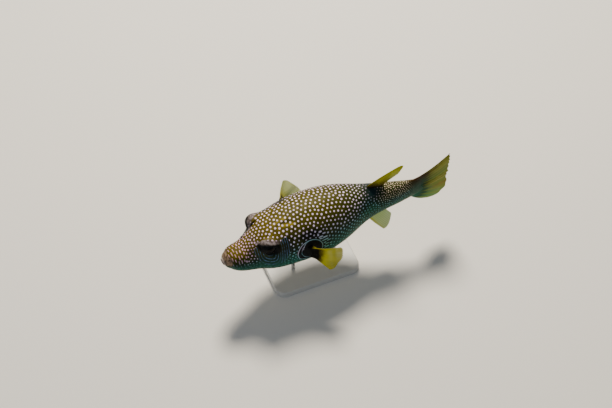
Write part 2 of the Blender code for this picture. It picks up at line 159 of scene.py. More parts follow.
def section(s, angle):
    """How far left and up the skin is at s; angle 0 is the back's ridge and 90 degrees the left flank."""
    across, upright = np.sin(angle), np.cos(angle)
    fullness = np.where(upright > 0, BACK_FULLNESS, BELLY_FULLNESS)
    height = np.where(upright > 0, back_height(s), belly_depth(s))
    out = np.clip((s - BODY_LENGTH) / TAIL_TAPER, 0, 1)
    width = half_width(s) * (1 - 0.92 * out**0.8)
    height = height * (1 - 0.10 * out)
    left_by = width * np.sign(across) * np.abs(across) ** (2 / fullness)
    up_by = mid_level(s) + height * np.sign(upright) * np.abs(upright) ** (2 / fullness)
    for side in (1, -1):
        away = np.sqrt((s - BROW_AT[0])**2 + (left_by - side * BROW_AT[1])**2 + (up_by - BROW_AT[2])**2)
        swell = BROW_RISE * hill(away, BROW_REACH)
        reach = np.hypot(left_by, up_by) + 1e-6
        left_by = left_by + swell * left_by / reach
        up_by = up_by + swell * up_by / reach
    beyond = np.clip(s - BODY_LENGTH + 0.005, 0, 1)
    turned = TAIL_BOW * np.sin(math.pi * beyond / 0.057) - math.tan(math.radians(TAIL_SWING)) * beyond
    return left_by + turned * ease(s, BODY_LENGTH - 0.012, BODY_LENGTH + 0.004), up_by


def eye_frame(side):
    """The eyeball's centre, and its axis, which looks outwards, a little forwards and down."""
    centre = in_body(EYE_AT[0], side * EYE_AT[1], EYE_AT[2])
    _, back, left = body_frame(EYE_AT[0])
    return centre, unit(left * side - back * 0.12 - UP * 0.06)


def spread(density, count, low, high):
    """count places from low to high, closer together where density is more."""
    fine = np.linspace(low, high, 4000)
    total = np.concatenate([[0], np.cumsum(density((fine[1:] + fine[:-1]) / 2))])
    return np.interp(np.linspace(0, total[-1], count), total, fine)


def ring_angles(s):
    """The ring's angles at s, closer together over each eye."""
    crowd = 2.6 * hill(s - EYE_AT[0] - 0.001, 0.013)
    middle = math.radians(57)

    def density(a):
        near = hill(a - middle, 0.42) + hill(a - 2 * math.pi + middle, 0.42)
        return 1 + 0.35 * np.cos(a) + crowd * near

    return spread(density, AROUND + 1, 0, 2 * math.pi)[:-1]


stations = spread(lambda s: 1 + 1.8 * hill(s, 0.010) + 1.3 * hill(s - 0.054, 0.016)
                  + 0.7 * hill(s - 0.097, 0.012) + 0.3 * hill(s - 0.200, 0.014),
                  ALONG, LIPS, BODY_LENGTH + TAIL_TAPER)
S = np.repeat(stations[:, None], AROUND, axis=1)
A = np.array([ring_angles(s) for s in stations])
LEFT_BY, UP_BY = section(S, A)
SIDE = np.where(np.sin(A) >= 0, 1.0, -1.0)
TURN = np.minimum(A, 2 * math.pi - A)  # 0 on the back to pi on the belly, on both sides
bare = in_body(S, LEFT_BY, UP_BY)


def steps(points):
    """The steps from point to point of a grid of rings, along the body and round it."""
    along = np.gradient(points, axis=0)
    across = (np.roll(points, -1, axis=1) - np.roll(points, 1, axis=1)) / 2
    return along, across


def grid_normals(points):
    along, across = steps(points)
    return unit(np.cross(across, along))


normal = grid_normals(bare)
if (normal * (bare - in_body(S, 0 * S, mid_level(S)))).sum() < 0:
    normal = -normal


def ripple(points, scale, seed):
    """Smooth noise from -1 to 1, its lumps scale across."""
    offset = Vector((seed * 7.1, seed * 3.3, seed * 5.7))
    flat = points.reshape(-1, 3) / scale
    return np.array([noise.noise(Vector(p) + offset) for p in flat]).reshape(points.shape[:-1])


def relief():
    """How far the skin stands out from the bare body: folds, fin bases, gill slit, lips and vent."""
    # Fine folds all over, and pleats along the belly.
    rise = 0.10 * MM * ripple(bare, 5 * MM, 1) + 0.05 * MM * ripple(bare, 2.2 * MM, 2)
    pleat = np.sin(TURN * 46 + 1.5 * ripple(bare, 20 * MM, 3))
    rise += 0.10 * MM * pleat * ease(TURN, 2.2, 2.6) * window(S, 0.035, 0.06, 0.17, 0.19)
    # The gill slit, the rim in front of it, and the swollen base of the pectoral fin behind it.
    low = UP_BY - PECTORAL_AT[1]
    flank = np.abs(np.sin(A)) > 0.5
    slit = S - (0.0918 - 0.0030 * (1 - (low / 0.0125)**2))
    rise -= 2.0 * MM * hill(slit, 1.0 * MM) * (1 - ease(np.abs(low), 0.0085, 0.0120)) * flank
    rise += 0.9 * MM * hill(slit + 0.0024, 2.0 * MM) * (1 - ease(np.abs(low), 0.007, 0.014)) * flank
    rise += 3.0 * MM * hill(S - PECTORAL_AT[0] - 0.0005, 0.0052) * hill(low, 0.0120) * flank
    # The fleshy bases of the dorsal and the anal fin.
    for (start, end), top in ((DORSAL_AT, True), (ANAL_AT, False)):
        under_root = window(S, start - 0.006, start + 0.002, end - 0.001, end + 0.007)
        facing = (np.cos(A) > 0) == top
        rise += 2.4 * MM * under_root * hill(LEFT_BY, 0.0042) * facing
    # The lips with a groove behind them, and the vent.
    rise += 0.55 * MM * hill(S - 0.0050, 0.0016) - 0.30 * MM * hill(S - 0.0088, 0.0012)
    rise -= 1.2 * MM * hill(S - 0.1845, 0.0016) * hill(LEFT_BY, 0.0010) * (np.cos(A) < 0)
    return rise


# The skin is drawn round each eyeball, and inside the lid's rim it tucks in behind the ball.
skin = bare + normal * relief()[..., None]
eye_ahead = np.full(S.shape, FAR)  # mm ahead of the eye's axis
eye_above = np.zeros(S.shape)  # mm above it
for side in (1, -1):
    centre, axis = eye_frame(side)
    _, back, left = body_frame(EYE_AT[0])
    away = skin - centre
    reach = np.linalg.norm(away, axis=-1)
    off_axis = np.degrees(np.arccos(np.clip((away * axis).sum(-1) / reach, -1, 1)))
    near = (SIDE == side) & (reach < 0.030)
    cover = EYE_RADIUS + SKIN_OVER_EYE
    soft = 0.0012
    outside = cover + soft * np.logaddexp(0, (reach - cover) / soft)
    tuck = ease(off_axis, LID_HALF_ANGLE - 5.0, LID_HALF_ANGLE + 1.0)
    lid_swell = 0.35 * MM * hill(off_axis - LID_HALF_ANGLE - 5, 4.0)
    fitted = (outside + lid_swell) * tuck + (EYE_RADIUS - 0.0022) * (1 - tuck)
    blend = (1 - ease(reach, 0.015, 0.024)) * (off_axis < 120)
    new_reach = np.where(near, reach + (fitted - reach) * blend, reach)
    skin = centre + away / reach[..., None] * new_reach[..., None]
    away = skin - centre
    eye_ahead = np.where(SIDE == side, away @ unit(axis * (back @ axis) - back) / MM, eye_ahead)
    eye_above = np.where(SIDE == side, away @ unit(UP - axis * axis[2]) / MM, eye_above)


def mouth_rows():
    """Rows that roll over the lips and run back into the mouth, first the one deepest inside."""
    ring = A[0]
    outer = (half_width(LIPS), (back_height(LIPS) + belly_depth(LIPS)) / 2)
    rows = []
    for roll in np.linspace(12, 168, 11):
        share = (1 - math.cos(math.radians(roll))) / 2
        rows.append((share, -1.0 * MM * math.sin(math.radians(roll))))
    rows += [(1.0, 0.0004), (1.02, 0.0020), (1.05, MOUTH_DEPTH)]
    rings = []
    for share, depth in rows:
        half = [o + (i - o) * share for o, i in zip(outer, MOUTH_HALF)]
        level = mid_level(LIPS) + half[1] * np.cos(ring)
        rings.append(in_body(np.full(AROUND, LIPS + depth), half[0] * np.sin(ring), level))
    return np.array(rings[::-1])


mouth = mouth_rows()
inside_rows = len(mouth)


def grown(values, fill):
    """Adds the mouth's rows to a table that covers the outer skin."""
    return np.concatenate([np.full((inside_rows, AROUND) + values.shape[2:], fill), values])


points = np.concatenate([mouth, skin])
lip = grown(1 - ease(S, 0.0030, 0.0046), 1.0)
S_ALL = grown(S, LIPS)
A_ALL = np.concatenate([np.repeat(A[:1], inside_rows, axis=0), A])
TURN_ALL = np.minimum(A_ALL, 2 * math.pi - A_ALL)
LEFT_ALL, UP_ALL = section(S_ALL, A_ALL)

# Places round the middle of the ringed black patch at the pectoral fin's root.
ring_s = (S_ALL - RING_AT[0]) / RING_HALF[0]
ring_z = (UP_ALL - RING_AT[1]) / RING_HALF[1]
fin_ring = np.hypot(ring_s, ring_z) * OUTER_RING
fin_turn = np.degrees(np.arctan2(ring_z, ring_s))  # 0 straight behind, 90 straight above
on_flank = ease(TURN_ALL, 0.55, 0.80)
fin_ring = fin_ring + (1 - on_flank) * 60
front_turn = fin_turn % 360  # the same angle from 0 to 360, so that it runs on across the front
inner_ring = fin_ring - 14.3 + 4.1 * ease(front_turn, 98, 150)
eye_ahead = grown(eye_ahead, FAR)
eye_above = grown(eye_above, 0.0)
eye_mm = np.hypot(eye_ahead, eye_above)

# The brow is a pale strip that slopes down and back over the eye: merged dots, made paler by painted light
# on its top. below_brow counts degrees down from it.
brow_top = np.interp(S_ALL, (0.0435, 0.0495, 0.0555, 0.0615, 0.0675), (21, 29, 33.5, 37, 39.5))
below_brow = np.degrees(TURN_ALL) - brow_top
brow_span = window(S_ALL, 0.0405, 0.0440, 0.0620, 0.0675)
brow_dots_and_light = window(below_brow, 1.0, 6.0, 8.5, 12.5) * brow_span
opening = np.hypot(eye_ahead / 12.5, (eye_above + 0.5) / np.where(eye_above > -0.5, 11.5, 8.0))
# Below the brow the skin round the eye is painted black: painted shade under the brow.
orbit_shade = (1 - ease(opening, 0.85, 1.25)) * ease(below_brow, 8.5, 11.5)
# The lines round the eye lie further apart below it, where they run nearly level.
line_drop = np.where(eye_above < 0, 0.50, 1.0) * eye_above
line_mm = (np.abs(eye_ahead - 1.2)**3.6 + np.abs(line_drop)**3.6) ** (1 / 3.6)

# Dots: even spacing that follows the body, laid out once from a fixed seed. Behind the pectoral ring
# they are drawn out into dashes along the body.
dashes = (1 - ease(fin_ring, 23.0, 27.0)) * ease(fin_turn, -34, -24) * (1 - ease(fin_turn, 50, 62))
SPACING = ((0.0, 0.0032), (0.020, 0.0034), (0.028, 0.0041), (0.038, 0.0049), (0.055, 0.0049),
           (0.075, 0.0053), (0.100, 0.0057), (0.130, 0.0057), (0.160, 0.0056), (0.180, 0.0048),
           (0.196, 0.0043), (0.208, 0.0030), (0.240, 0.0027), (0.265, 0.0026))  # station, spacing
HEXAGON = 0.866  # the room of a dot in an even pattern, for a spacing of 1
BELLY_EDGE = math.radians(127)  # the belly below this angle has no dots
DOT_SEED = 11
DOT_ROUNDS = 5
DOT_PUSHES = 60
DOT_SAMPLES = 24000


def dot_stretch(s):
    """How many times wider than long a dot's own room is: bars across the snout, round behind it."""
    return 1 + 1.0 * (1 - ease(s, 0.018, 0.031))


def eye_line_room():
    """Where thin pale lines run round the eye: below it, behind it and in front, not over the brow."""
    top = np.interp(S_ALL, (0.0360, 0.0435, 0.0640, 0.0690, 0.0780), (15.0, 13.0, 11.5, 1.0, 3.0))
    below = ease(below_brow, top, top + 3.0)
    reach = np.interp(S_ALL, (0.030, 0.050, 0.066, 0.080), (17.0, 27.0, 27.0, 23.0))
    near = ease(opening, 0.95, 1.20) * (1 - ease(eye_mm, reach - 1.5, reach + 1.0))
    return near * below * ease(S_ALL, 0.030, 0.038) * (1 - ease(TURN_ALL, 1.95, 2.12))


def dot_room():
    """1 where dots are painted and 0 where they aren't: mouth, belly, eyes, and pectoral rings."""
    room = ease(S_ALL, 0.0085, 0.0095) * (TURN_ALL < BELLY_EDGE)
    room *= fin_ring > OUTER_RING + 1.6
    room *= eye_line_room() < 0.35
    room *= (brow_dots_and_light < 0.80) & (orbit_shade < 0.30)
    return room


def dots():
    """Centres of the dots in the body's own stretched coordinates, spread until they are even."""
    rng = np.random.default_rng(DOT_SEED)
    step_s, step_a = [np.linalg.norm(step, axis=-1) for step in steps(points)]
    density = 1 / (HEXAGON * spacing_here()**2 * dot_stretch(S_ALL))
    weight = (step_s * step_a * density * dot_room()).ravel()
    count = int(weight.sum())
    grid = warp(S_ALL, LEFT_ALL, UP_ALL)
    step_1, step_2 = [step.reshape(-1, 3) for step in steps(grid)]
    warped = grid.reshape(-1, 3)
    seeds = rng.choice(len(weight), count, replace=False, p=weight / weight.sum())
    pull = weight * density.ravel()
    samples = rng.choice(len(weight), DOT_SAMPLES, p=pull / pull.sum())
    jitter = rng.uniform(-0.5, 0.5, (2, DOT_SAMPLES, 1))
    centres = warped[seeds]
    cloud = warped[samples] + jitter[0] * step_1[samples] + jitter[1] * step_2[samples]
    for _ in range(DOT_ROUNDS):
        owner = nearest(centres, cloud)
        total = np.zeros_like(centres)
        np.add.at(total, owner, cloud)
        held = np.bincount(owner, minlength=count)
        centres = np.where(held[:, None] > 0, total / np.maximum(held, 1)[:, None], centres)
    return push_apart(centres, grid), warped, rng


def push_apart(centres, grid):
    """Moves dots away from those too near, along the skin, until their spacing is even."""
    warped = grid.reshape(-1, 3)
    across = (np.roll(grid, -1, axis=1) - np.roll(grid, 1, axis=1)).reshape(-1, 3)
    facing = unit(np.cross(across, np.gradient(grid, axis=0).reshape(-1, 3)))
    wanted = spacing_here().ravel()
    allowed = dot_room().ravel() > 0
    skin_tree = tree_of(warped)
    for turn in range(DOT_PUSHES):
        tree = tree_of(centres)
        home = np.array([skin_tree.find(c)[1] for c in centres])
        step = 0.30 if turn < DOT_PUSHES * 0.7 else 0.15
        moved = centres.copy()
        for i, c in enumerate(centres):
            space = wanted[home[i]] * 1.12
            for other, k, apart in tree.find_n(c, 7):
                if 0 < apart < space:
                    moved[i] += (c - np.array(other)) / apart * (space - apart) * step
        away = moved - warped[home]
        flat = moved - facing[home] * (away * facing[home]).sum(-1, keepdims=True)
        landing = np.array([skin_tree.find(c)[1] for c in flat])
        centres = np.where(allowed[landing][:, None], flat, centres)
    return centres


def spacing_here():
    """The dots' spacing at each point: closer low on the flanks, wider among the dashes."""
    low = ease(TURN_ALL, math.radians(62), math.radians(100))
    rear = ease(S_ALL, 0.120, 0.170)
    return np.interp(S_ALL, *zip(*SPACING)) * (1 - (0.04 + 0.06 * rear) * low) * (1 + 0.40 * dashes)


def warp(s, left_by, up_by):
    """Places squeezed across the body where the dots are bars, so that even spacing draws them out."""
    squeeze = 1 / dot_stretch(s)
    return np.stack([s, left_by * squeeze, up_by * squeeze], -1)


def tree_of(places):
    tree = kdtree.KDTree(len(places))
    for i, place in enumerate(places):
        tree.insert(place, i)
    tree.balance()
    return tree


def nearest(centres, cloud):
    tree = tree_of(centres)
    return np.array([tree.find(c)[1] for c in cloud])


# Each dot's place on the skin, its radius, and half of its bar where it is drawn out.
centres, warped, rng = dots()
home = nearest(warped, centres)  # the skin's point closest to each dot
offset = (centres - warped[home])
dot_s = S_ALL.ravel()[home]
stretch = dot_stretch(dot_s)
space = spacing_here().ravel()[home]
_, back_way, left_way = body_frame(dot_s)
moved = back_way * offset[:, :1] + (left_way * offset[:, 1:2] + UP * offset[:, 2:]) * stretch[:, None]
skin_normal = np.concatenate([np.zeros((inside_rows, AROUND, 3)), grid_normals(skin)]).reshape(-1, 3)[home]
moved += rng.normal(0, 1, moved.shape) * (space * np.interp(dot_s, (0.19, 0.21), (0.05, 0.11)))[:, None]
moved -= skin_normal * (moved * skin_normal).sum(-1, keepdims=True)
dot_place = points.reshape(-1, 3)[home] + moved
dashed = dashes.ravel()[home]
slim = (1 - 0.30 * (stretch - 1)) * (1 - 0.30 * dashed)
share = np.interp(dot_s, (0.085, 0.115, 0.200, 0.212), (0.195, 0.177, 0.177, 0.196))
dot_radius = space * share * slim * rng.uniform(0.80, 1.16, len(space))
half_bar = space * (0.02 + 0.60 * (stretch - 1) + 0.34 * dashed) * rng.uniform(0.6, 1.2, len(space))
bar_way = np.where(dashed[:, None] > 0.3, back_way, unit(np.cross(skin_normal, back_way)))
dot_axis = bar_way * half_bar[:, None]


def grid_faces(rows, columns, wrap):
    """Four-sided faces between the points of a grid; wrap joins its last column to its first."""
    r, c = np.meshgrid(np.arange(rows - 1), np.arange(columns if wrap else columns - 1), indexing="ij")
    here, below, after = r * columns, (r + 1) * columns, (c + 1) % columns
    return np.stack([here + c, below + c, below + after, here + after], -1).reshape(-1, 4)


def tube_ends(rows, columns):
    """Strips of faces that close the first and the last ring."""
    faces = []
    for start in (0, (rows - 1) * columns):
        for k in range(columns // 2):
            a, b = start + k, start + (k + 1)
            c, d = start + (columns - k - 1) % columns, start + (columns - k) % columns
            quad = [b, a, d, c] if start else [a, b, c, d]
            flat = []
            for v in quad:
                if v not in flat:
                    flat.append(v)
            if len(flat) > 2:
                faces.append(flat)
    return faces


def volume(points, faces):
    """The volume that the faces close in, below 0 where they point inwards."""
    total = 0.0
    for face in faces:
        p = points[list(face)]
        for i in range(1, len(p) - 1):
            total += np.dot(p[0], np.cross(p[i], p[i + 1]))
    return total / 6


def placed(name, mesh, material, slot_name, nodes=()):
    """Puts a mesh in the scene as a piece that rides on the model and stands for these CAD nodes."""
    mesh.shade_smooth()
    mesh.materials.clear()
    mesh.materials.append(material)
    obj = bpy.data.objects.new(name, mesh)
    bpy.context.scene.collection.objects.link(obj)
    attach(obj, "root")
    if nodes:
        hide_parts(*nodes)
    return obj


def made(name, points, faces, material, slot_name, nodes=()):
    """A piece built from points and faces, with its faces turned outwards."""
    flat = points.reshape(-1, 3)
    faces = [list(f) for f in faces]
    if volume(flat, faces) < 0:
        faces = [f[::-1] for f in faces]
    mesh = bpy.data.meshes.new(name)
    mesh.from_pydata(flat.tolist(), [], faces)
    return placed(name, mesh, material, slot_name, nodes)


def put(obj, name, values, domain="POINT"):
    """Stores numbers or directions on the mesh for its material to read."""
    values = np.asarray(values, np.float32)
    vector = values.ndim > 1 and values.shape[-1] == 3 and domain == "FACE"
    layer = obj.data.attributes.new(name, "FLOAT_VECTOR" if vector else "FLOAT", domain)
    layer.data.foreach_set("vector" if vector else "value", values.ravel())


def colour(code):
    """An sRGB hex colour as linear red, green, blue and alpha."""
    parts = [int(code[i:i + 2], 16) / 255 for i in (1, 3, 5)]
    return tuple(c / 12.92 if c <= 0.04045 else ((c + 0.055) / 1.055)**2.4 for c in parts) + (1.0,)


class Paint:
    """One material, with short forms of the nodes that its colours are worked out by."""

    def __init__(self, name):
        self.material = bpy.data.materials.new(name)
        self.material.use_nodes = True
        self.tree = self.material.node_tree

    def plug(self, node, inputs):
        """Gives each input its value, its hex colour, or a link from a node or an output."""
        for key, value in inputs.items():
            if isinstance(value, str):
                value = colour(value)
            if isinstance(value, bpy.types.Node):
                value = value.outputs[0]
            if isinstance(value, bpy.types.NodeSocket):
                self.tree.links.new(value, node.inputs[key])
            else:
                node.inputs[key].default_value = value

    def add(self, kind, inputs, **settings):
        """Adds a node with its settings, and with its values or links."""
        node = self.tree.nodes.new("ShaderNode" + kind)
        for key, value in settings.items():
            setattr(node, key, value)
        self.plug(node, inputs)
        return node

    def place(self):
        return self.add("TexCoord", {}).outputs["Object"]

    def read(self, name, output="Fac"):
        """What put() stored on the mesh under this name."""
        return self.add("Attribute", {}, attribute_name=name).outputs[output]

    def noise(self, place, scale, detail, output=0, **more):
        inputs = {"Vector": place, "Scale": scale, "Detail": detail}
        return self.add("TexNoise", {**inputs, **more}).outputs[output]

    def ramp(self, value, *stops):
        """A colour that goes from stop to stop as the value grows."""
        node = self.add("ValToRGB", {0: value})
        elements = node.color_ramp.elements
        while len(elements) < len(stops):
            elements.new(1.0)
        for element, (place, code) in zip(elements, stops):
            element.position = place
            element.color = colour(code)
        return node.outputs[0]

    def calc(self, operation, *values, **settings):
        return self.add("Math", dict(enumerate(values)), operation=operation, **settings)

    def vector(self, operation, first, second, output=0):
        key = "Scale" if operation == "SCALE" else 1
        return self.add("VectorMath", {0: first, key: second}, operation=operation).outputs[output]

    def remap(self, value, low, high, to_low=0.0, to_high=1.0):
        """Goes smoothly from to_low to to_high as the value goes from low to high."""
        return self.add("MapRange", {0: value, 1: low, 2: high, 3: to_low, 4: to_high},
                        interpolation_type="SMOOTHSTEP")

    def mix(self, share, first, second, blend_type="MIX"):
        """The second colour over the first, as strongly as the share says."""
        inputs = {0: share, 6: first, 7: second}
        return self.add("Mix", inputs, data_type="RGBA", blend_type=blend_type).outputs[2]

    def finish(self, inputs):
        """Sets the shader's own inputs and gives the material back."""
        self.plug(self.tree.nodes["Principled BSDF"], inputs)
        return self.material


def painted_skin():
    """Resin cast of smooth puffer skin, airbrushed and sealed with a satin varnish."""
    skin_paint = Paint("painted resin skin")
    read, calc, remap, mix = skin_paint.read, skin_paint.calc, skin_paint.remap, skin_paint.mix
    ramp, vector = skin_paint.ramp, skin_paint.vector
    place = skin_paint.place()
    mottle = skin_paint.noise(place, 260.0, 4.0, Roughness=0.6)
    broad = skin_paint.noise(place, 45.0, 3.0)

    # The ground goes from olive on the back through teal on the flank to a pale belly. The dark band low
    # on the flank and the grey-green at the belly's edge are partly painted shade, at the front and the
    # rear.
    turn = calc("ADD", read("turn"), calc("MULTIPLY", calc("SUBTRACT", broad, 0.5), 0.09))
    ground_and_shade = ramp(turn, (0.00, "#4f4a03"), (0.20, "#474303"), (0.34, "#2e340a"), (0.43, "#07281a"),
                  (0.60, "#1a5446"), (0.68, "#3c5848"), (0.76, "#c9c2a6"), (1.00, "#ded7bf"))
    rear = ramp(turn, (0.00, "#30360a"), (0.28, "#243008"), (0.42, "#08281a"), (0.58, "#08442f"),
                (0.68, "#3c5440"), (0.76, "#bdbaa2"), (1.00, "#d9d3bd"))
    paint = mix(remap(read("along"), 0.120, 0.185), ground_and_shade, rear)
    paint = mix(calc("MULTIPLY", read("head_top"), 0.60), paint, "#625408")
    # A golden streak of painted light beside the nape's painted crease.
    paint = mix(calc("MULTIPLY", read("stripe"), 0.80), paint, "#9c8a2c")
    grain = remap(mottle, 0.35, 0.70)
    paint = mix(calc("MULTIPLY", grain, 0.45), paint, "#38341c", "MULTIPLY")

    # Grey lines along the belly, and black blotches that let no ground through: black marks, and painted
    # shade round the eye, on the cheek, under the dorsal fin and in the nape's crease.
    stripes = calc("MULTIPLY", read("belly_stripe"), remap(broad, 0.35, 0.55))
    paint = mix(calc("MULTIPLY", stripes, 0.55), paint, "#6b6f66")
    blotch = mix(remap(broad, 0.56, 0.66), "#010406", "#0b1c24")
    blotch = mix(remap(read("along"), 0.170, 0.180), blotch, "#0a2026")
    paint = mix(read("dark"), paint, blotch)

    # Each dot is a disc, or a bar with round ends, round its own place on the skin.
    wobble = skin_paint.noise(place, 700.0, 1.0, 1)
    shake = vector("SCALE", vector("SUBTRACT", wobble, (0.5, 0.5, 0.5)), 0.0006)
    away = vector("SUBTRACT", vector("ADD", place, shake), read("dot_place", "Vector"))
    axis = read("dot_axis", "Vector")
    on_axis = vector("DOT_PRODUCT", away, axis, "Value")
    length = vector("DOT_PRODUCT", axis, axis, "Value")
    share = calc("MINIMUM", calc("MAXIMUM", calc("DIVIDE", on_axis, length), -1.0), 1.0)
    apart = vector("DISTANCE", away, vector("SCALE", axis, share), "Value")
    edge = calc("SUBTRACT", apart, read("dot_radius"))
    spot = calc("MULTIPLY", remap(edge, -0.00022, 0.00022, 1.0, 0.0), read("dot_show"))
    # The white dots are painted darker and teal low on the flank: painted shade.
    dot_colour_and_shade = ramp(read("turn"), (0.00, "#fbe3ff"), (0.24, "#f1d6fa"), (0.35, "#c8c4e0"),
                       (0.44, "#7aa8b4"), (0.60, "#46948a"), (0.70, "#8e9c8e"))
    tan = calc("MULTIPLY", remap(read("along"), 0.190, 0.215), remap(read("turn"), 0.36, 0.50, 1.0, 0.0))
    dot_colour_and_shade = mix(tan, dot_colour_and_shade, "#f2f2ba", "MULTIPLY")
    dot_colour_and_shade = mix(remap(read("along"), 0.018, 0.070, 1.0, 0.0), dot_colour_and_shade, "#f2ccd2", "MULTIPLY")
    paint = mix(calc("MULTIPLY", spot, read("dot_strength")), paint, dot_colour_and_shade)

    # Broken blue-grey lines round the eye, and pale rings round the black patch at the pectoral fin.
    reach = calc("ADD", read("line_mm"), calc("MULTIPLY", broad, 1.6))
    eye_line = calc("MULTIPLY", remap(calc("PINGPONG", reach, 1.3), 0.22, 0.52, 1.0, 0.0), read("eye_lines"))
    eye_line = calc("MULTIPLY", eye_line, remap(mottle, 0.40, 0.58, 0.20, 0.90))
    paint = mix(calc("MULTIPLY", eye_line, 0.72), paint, "#5c7aa0")
    near = calc("ABSOLUTE", calc("SUBTRACT", read("fin_ring"), OUTER_RING - 0.1))
    inner = remap(calc("ABSOLUTE", read("inner_ring")), 0.20, 0.65, 1.0, 0.0)
    inner = calc("MULTIPLY", calc("MULTIPLY", inner, read("inner_show")), 0.85)
    marks = calc("MAXIMUM", remap(near, 0.20, 0.65, 1.0, 0.0), inner)
    pale = mix(remap(read("fin_turn"), 275.0, 320.0), "#82aab4", "#b3b0c4")
    paint = mix(calc("MULTIPLY", marks, 0.85), paint, pale)

    # The brown patch behind the lips, the pale brows with their painted light, the root of the tail fin, and
    # the lips.
    paint = mix(read("snout_patch"), paint, mix(grain, "#85705c", "#241912"))
    paint = mix(read("brow_dots_and_light"), paint, mix(remap(mottle, 0.38, 0.60), "#83797a", "#4c4240"))
    root = ramp(turn, (0.00, "#3c2612"), (0.22, "#26260f"), (0.42, "#103424"), (0.70, "#184834"),
                (1.00, "#44664f"))
    paint = mix(remap(read("along"), 0.238, 0.254), paint, root)
    paint = mix(read("lip"), paint, mix(grain, "#998b84", "#6b605a"))

    fine = skin_paint.noise(place, 1500.0, 2.0)
    bumps = calc("ADD", fine, mottle)
    bumped = skin_paint.add("Bump", {"Height": bumps, "Strength": 0.25, "Distance": 0.0004})
    return skin_paint.finish({"Base Color": paint, "Normal": bumped, "Specular IOR Level": 0.08,
                              "Roughness": remap(mottle, 0.3, 0.7, 0.46, 0.60)})


rows = len(points)
faces = grid_faces(rows, AROUND, True).tolist()
wall_count = len(faces)
faces += tube_ends(rows, AROUND)
skin_obj = made("skin", points, faces, painted_skin(), "spotted_skin", ("head", "trunk", "tail"))

# Every face knows its nearest dot, so that the dots' edges stay sharp between the mesh's points.
dot_strength = rng.uniform(0.78, 1.0, len(space)) * (1 - 0.30 * (stretch - 1))
dot_strength *= np.interp(dot_s, (0.130, 0.165, 0.195, 0.210), (1.0, 0.88, 0.88, 1.0))
face_rows, face_columns = np.divmod(np.arange(wall_count), AROUND)
corner = face_rows * AROUND + face_columns
owner = nearest(centres, (warped[corner] + warped[corner + AROUND]) / 2)
owner = np.concatenate([owner, np.zeros(len(faces) - wall_count, int)])
for name, values in (("dot_place", dot_place), ("dot_axis", dot_axis), ("dot_radius", dot_radius),
                     ("dot_strength", dot_strength)):
    put(skin_obj, name, values[owner], "FACE")

# Beside and under the dorsal fin the flank's teal reaches up to the back.
teal_rise = 0.15 * hill(S_ALL - 0.190, 0.0135) * window(TURN_ALL, 0.20, 0.60, 1.3, 1.8)
fin_black = 1 - ease(fin_ring, OUTER_RING + 0.6, OUTER_RING + 1.6)
around_black = (1 - ease(fin_ring, 22.0, 29.0)) * 0.88 * window(fin_turn, -60, -10, 95, 140)
# Painted shade on the cheek, round and below the eye.
cheek_shade = 0.18 * (1 - ease(eye_mm, 22.0, 29.0)) * ease(below_brow, 9.0, 14.0) * (1 - ease(TURN_ALL, 1.9, 2.2))
cheek_shade = cheek_shade * ease(S_ALL, 0.030, 0.040)
behind_eye = 0.60 * hill(S_ALL - 0.0715, 0.0095) * ease(below_brow, 0.0, 6.0)
behind_eye = behind_eye * (1 - ease(TURN_ALL, 1.25, 1.50))
# A black patch at the dorsal fin's root, which also stands in for the fin's painted shadow.
dorsal_patch_and_shadow = 0.95 * hill(S_ALL - 0.1970, 0.0105) * (1 - ease(TURN_ALL, 0.45, 1.05))
# On the left of the nape painted light and shade stand for a crease: a dark line of painted shade runs back
# between two pale streaks of painted light.
left_turn = np.degrees(A_ALL)
fold = hill(left_turn - np.interp(S_ALL, (0.068, 0.0745, 0.082, 0.087), (17, 15, 15, 16)), 1.5)
fold = 0.8 * fold * window(S_ALL, 0.066, 0.070, 0.085, 0.090)
crease_light = hill(left_turn - np.interp(S_ALL, (0.068, 0.077, 0.0845, 0.090), (18.5, 21, 24.5, 27)), 2.6)
crease_light = crease_light * window(S_ALL, 0.067, 0.072, 0.088, 0.094)
upper_crease_light = hill(left_turn - 9.5, 2.4) * window(S_ALL, 0.062, 0.068, 0.080, 0.086)
# On the right a black blotch lies at the edge of the back, over the fin's root.
far_root = np.clip(1.6 * hill(360 - left_turn - 39.0, 4.5) * hill(S_ALL - 0.0900, 0.0066), 0, 1)
dark_marks_and_shade = np.maximum.reduce([fin_black, around_black, orbit_shade, cheek_shade, behind_eye, dorsal_patch_and_shadow, fold, far_root])
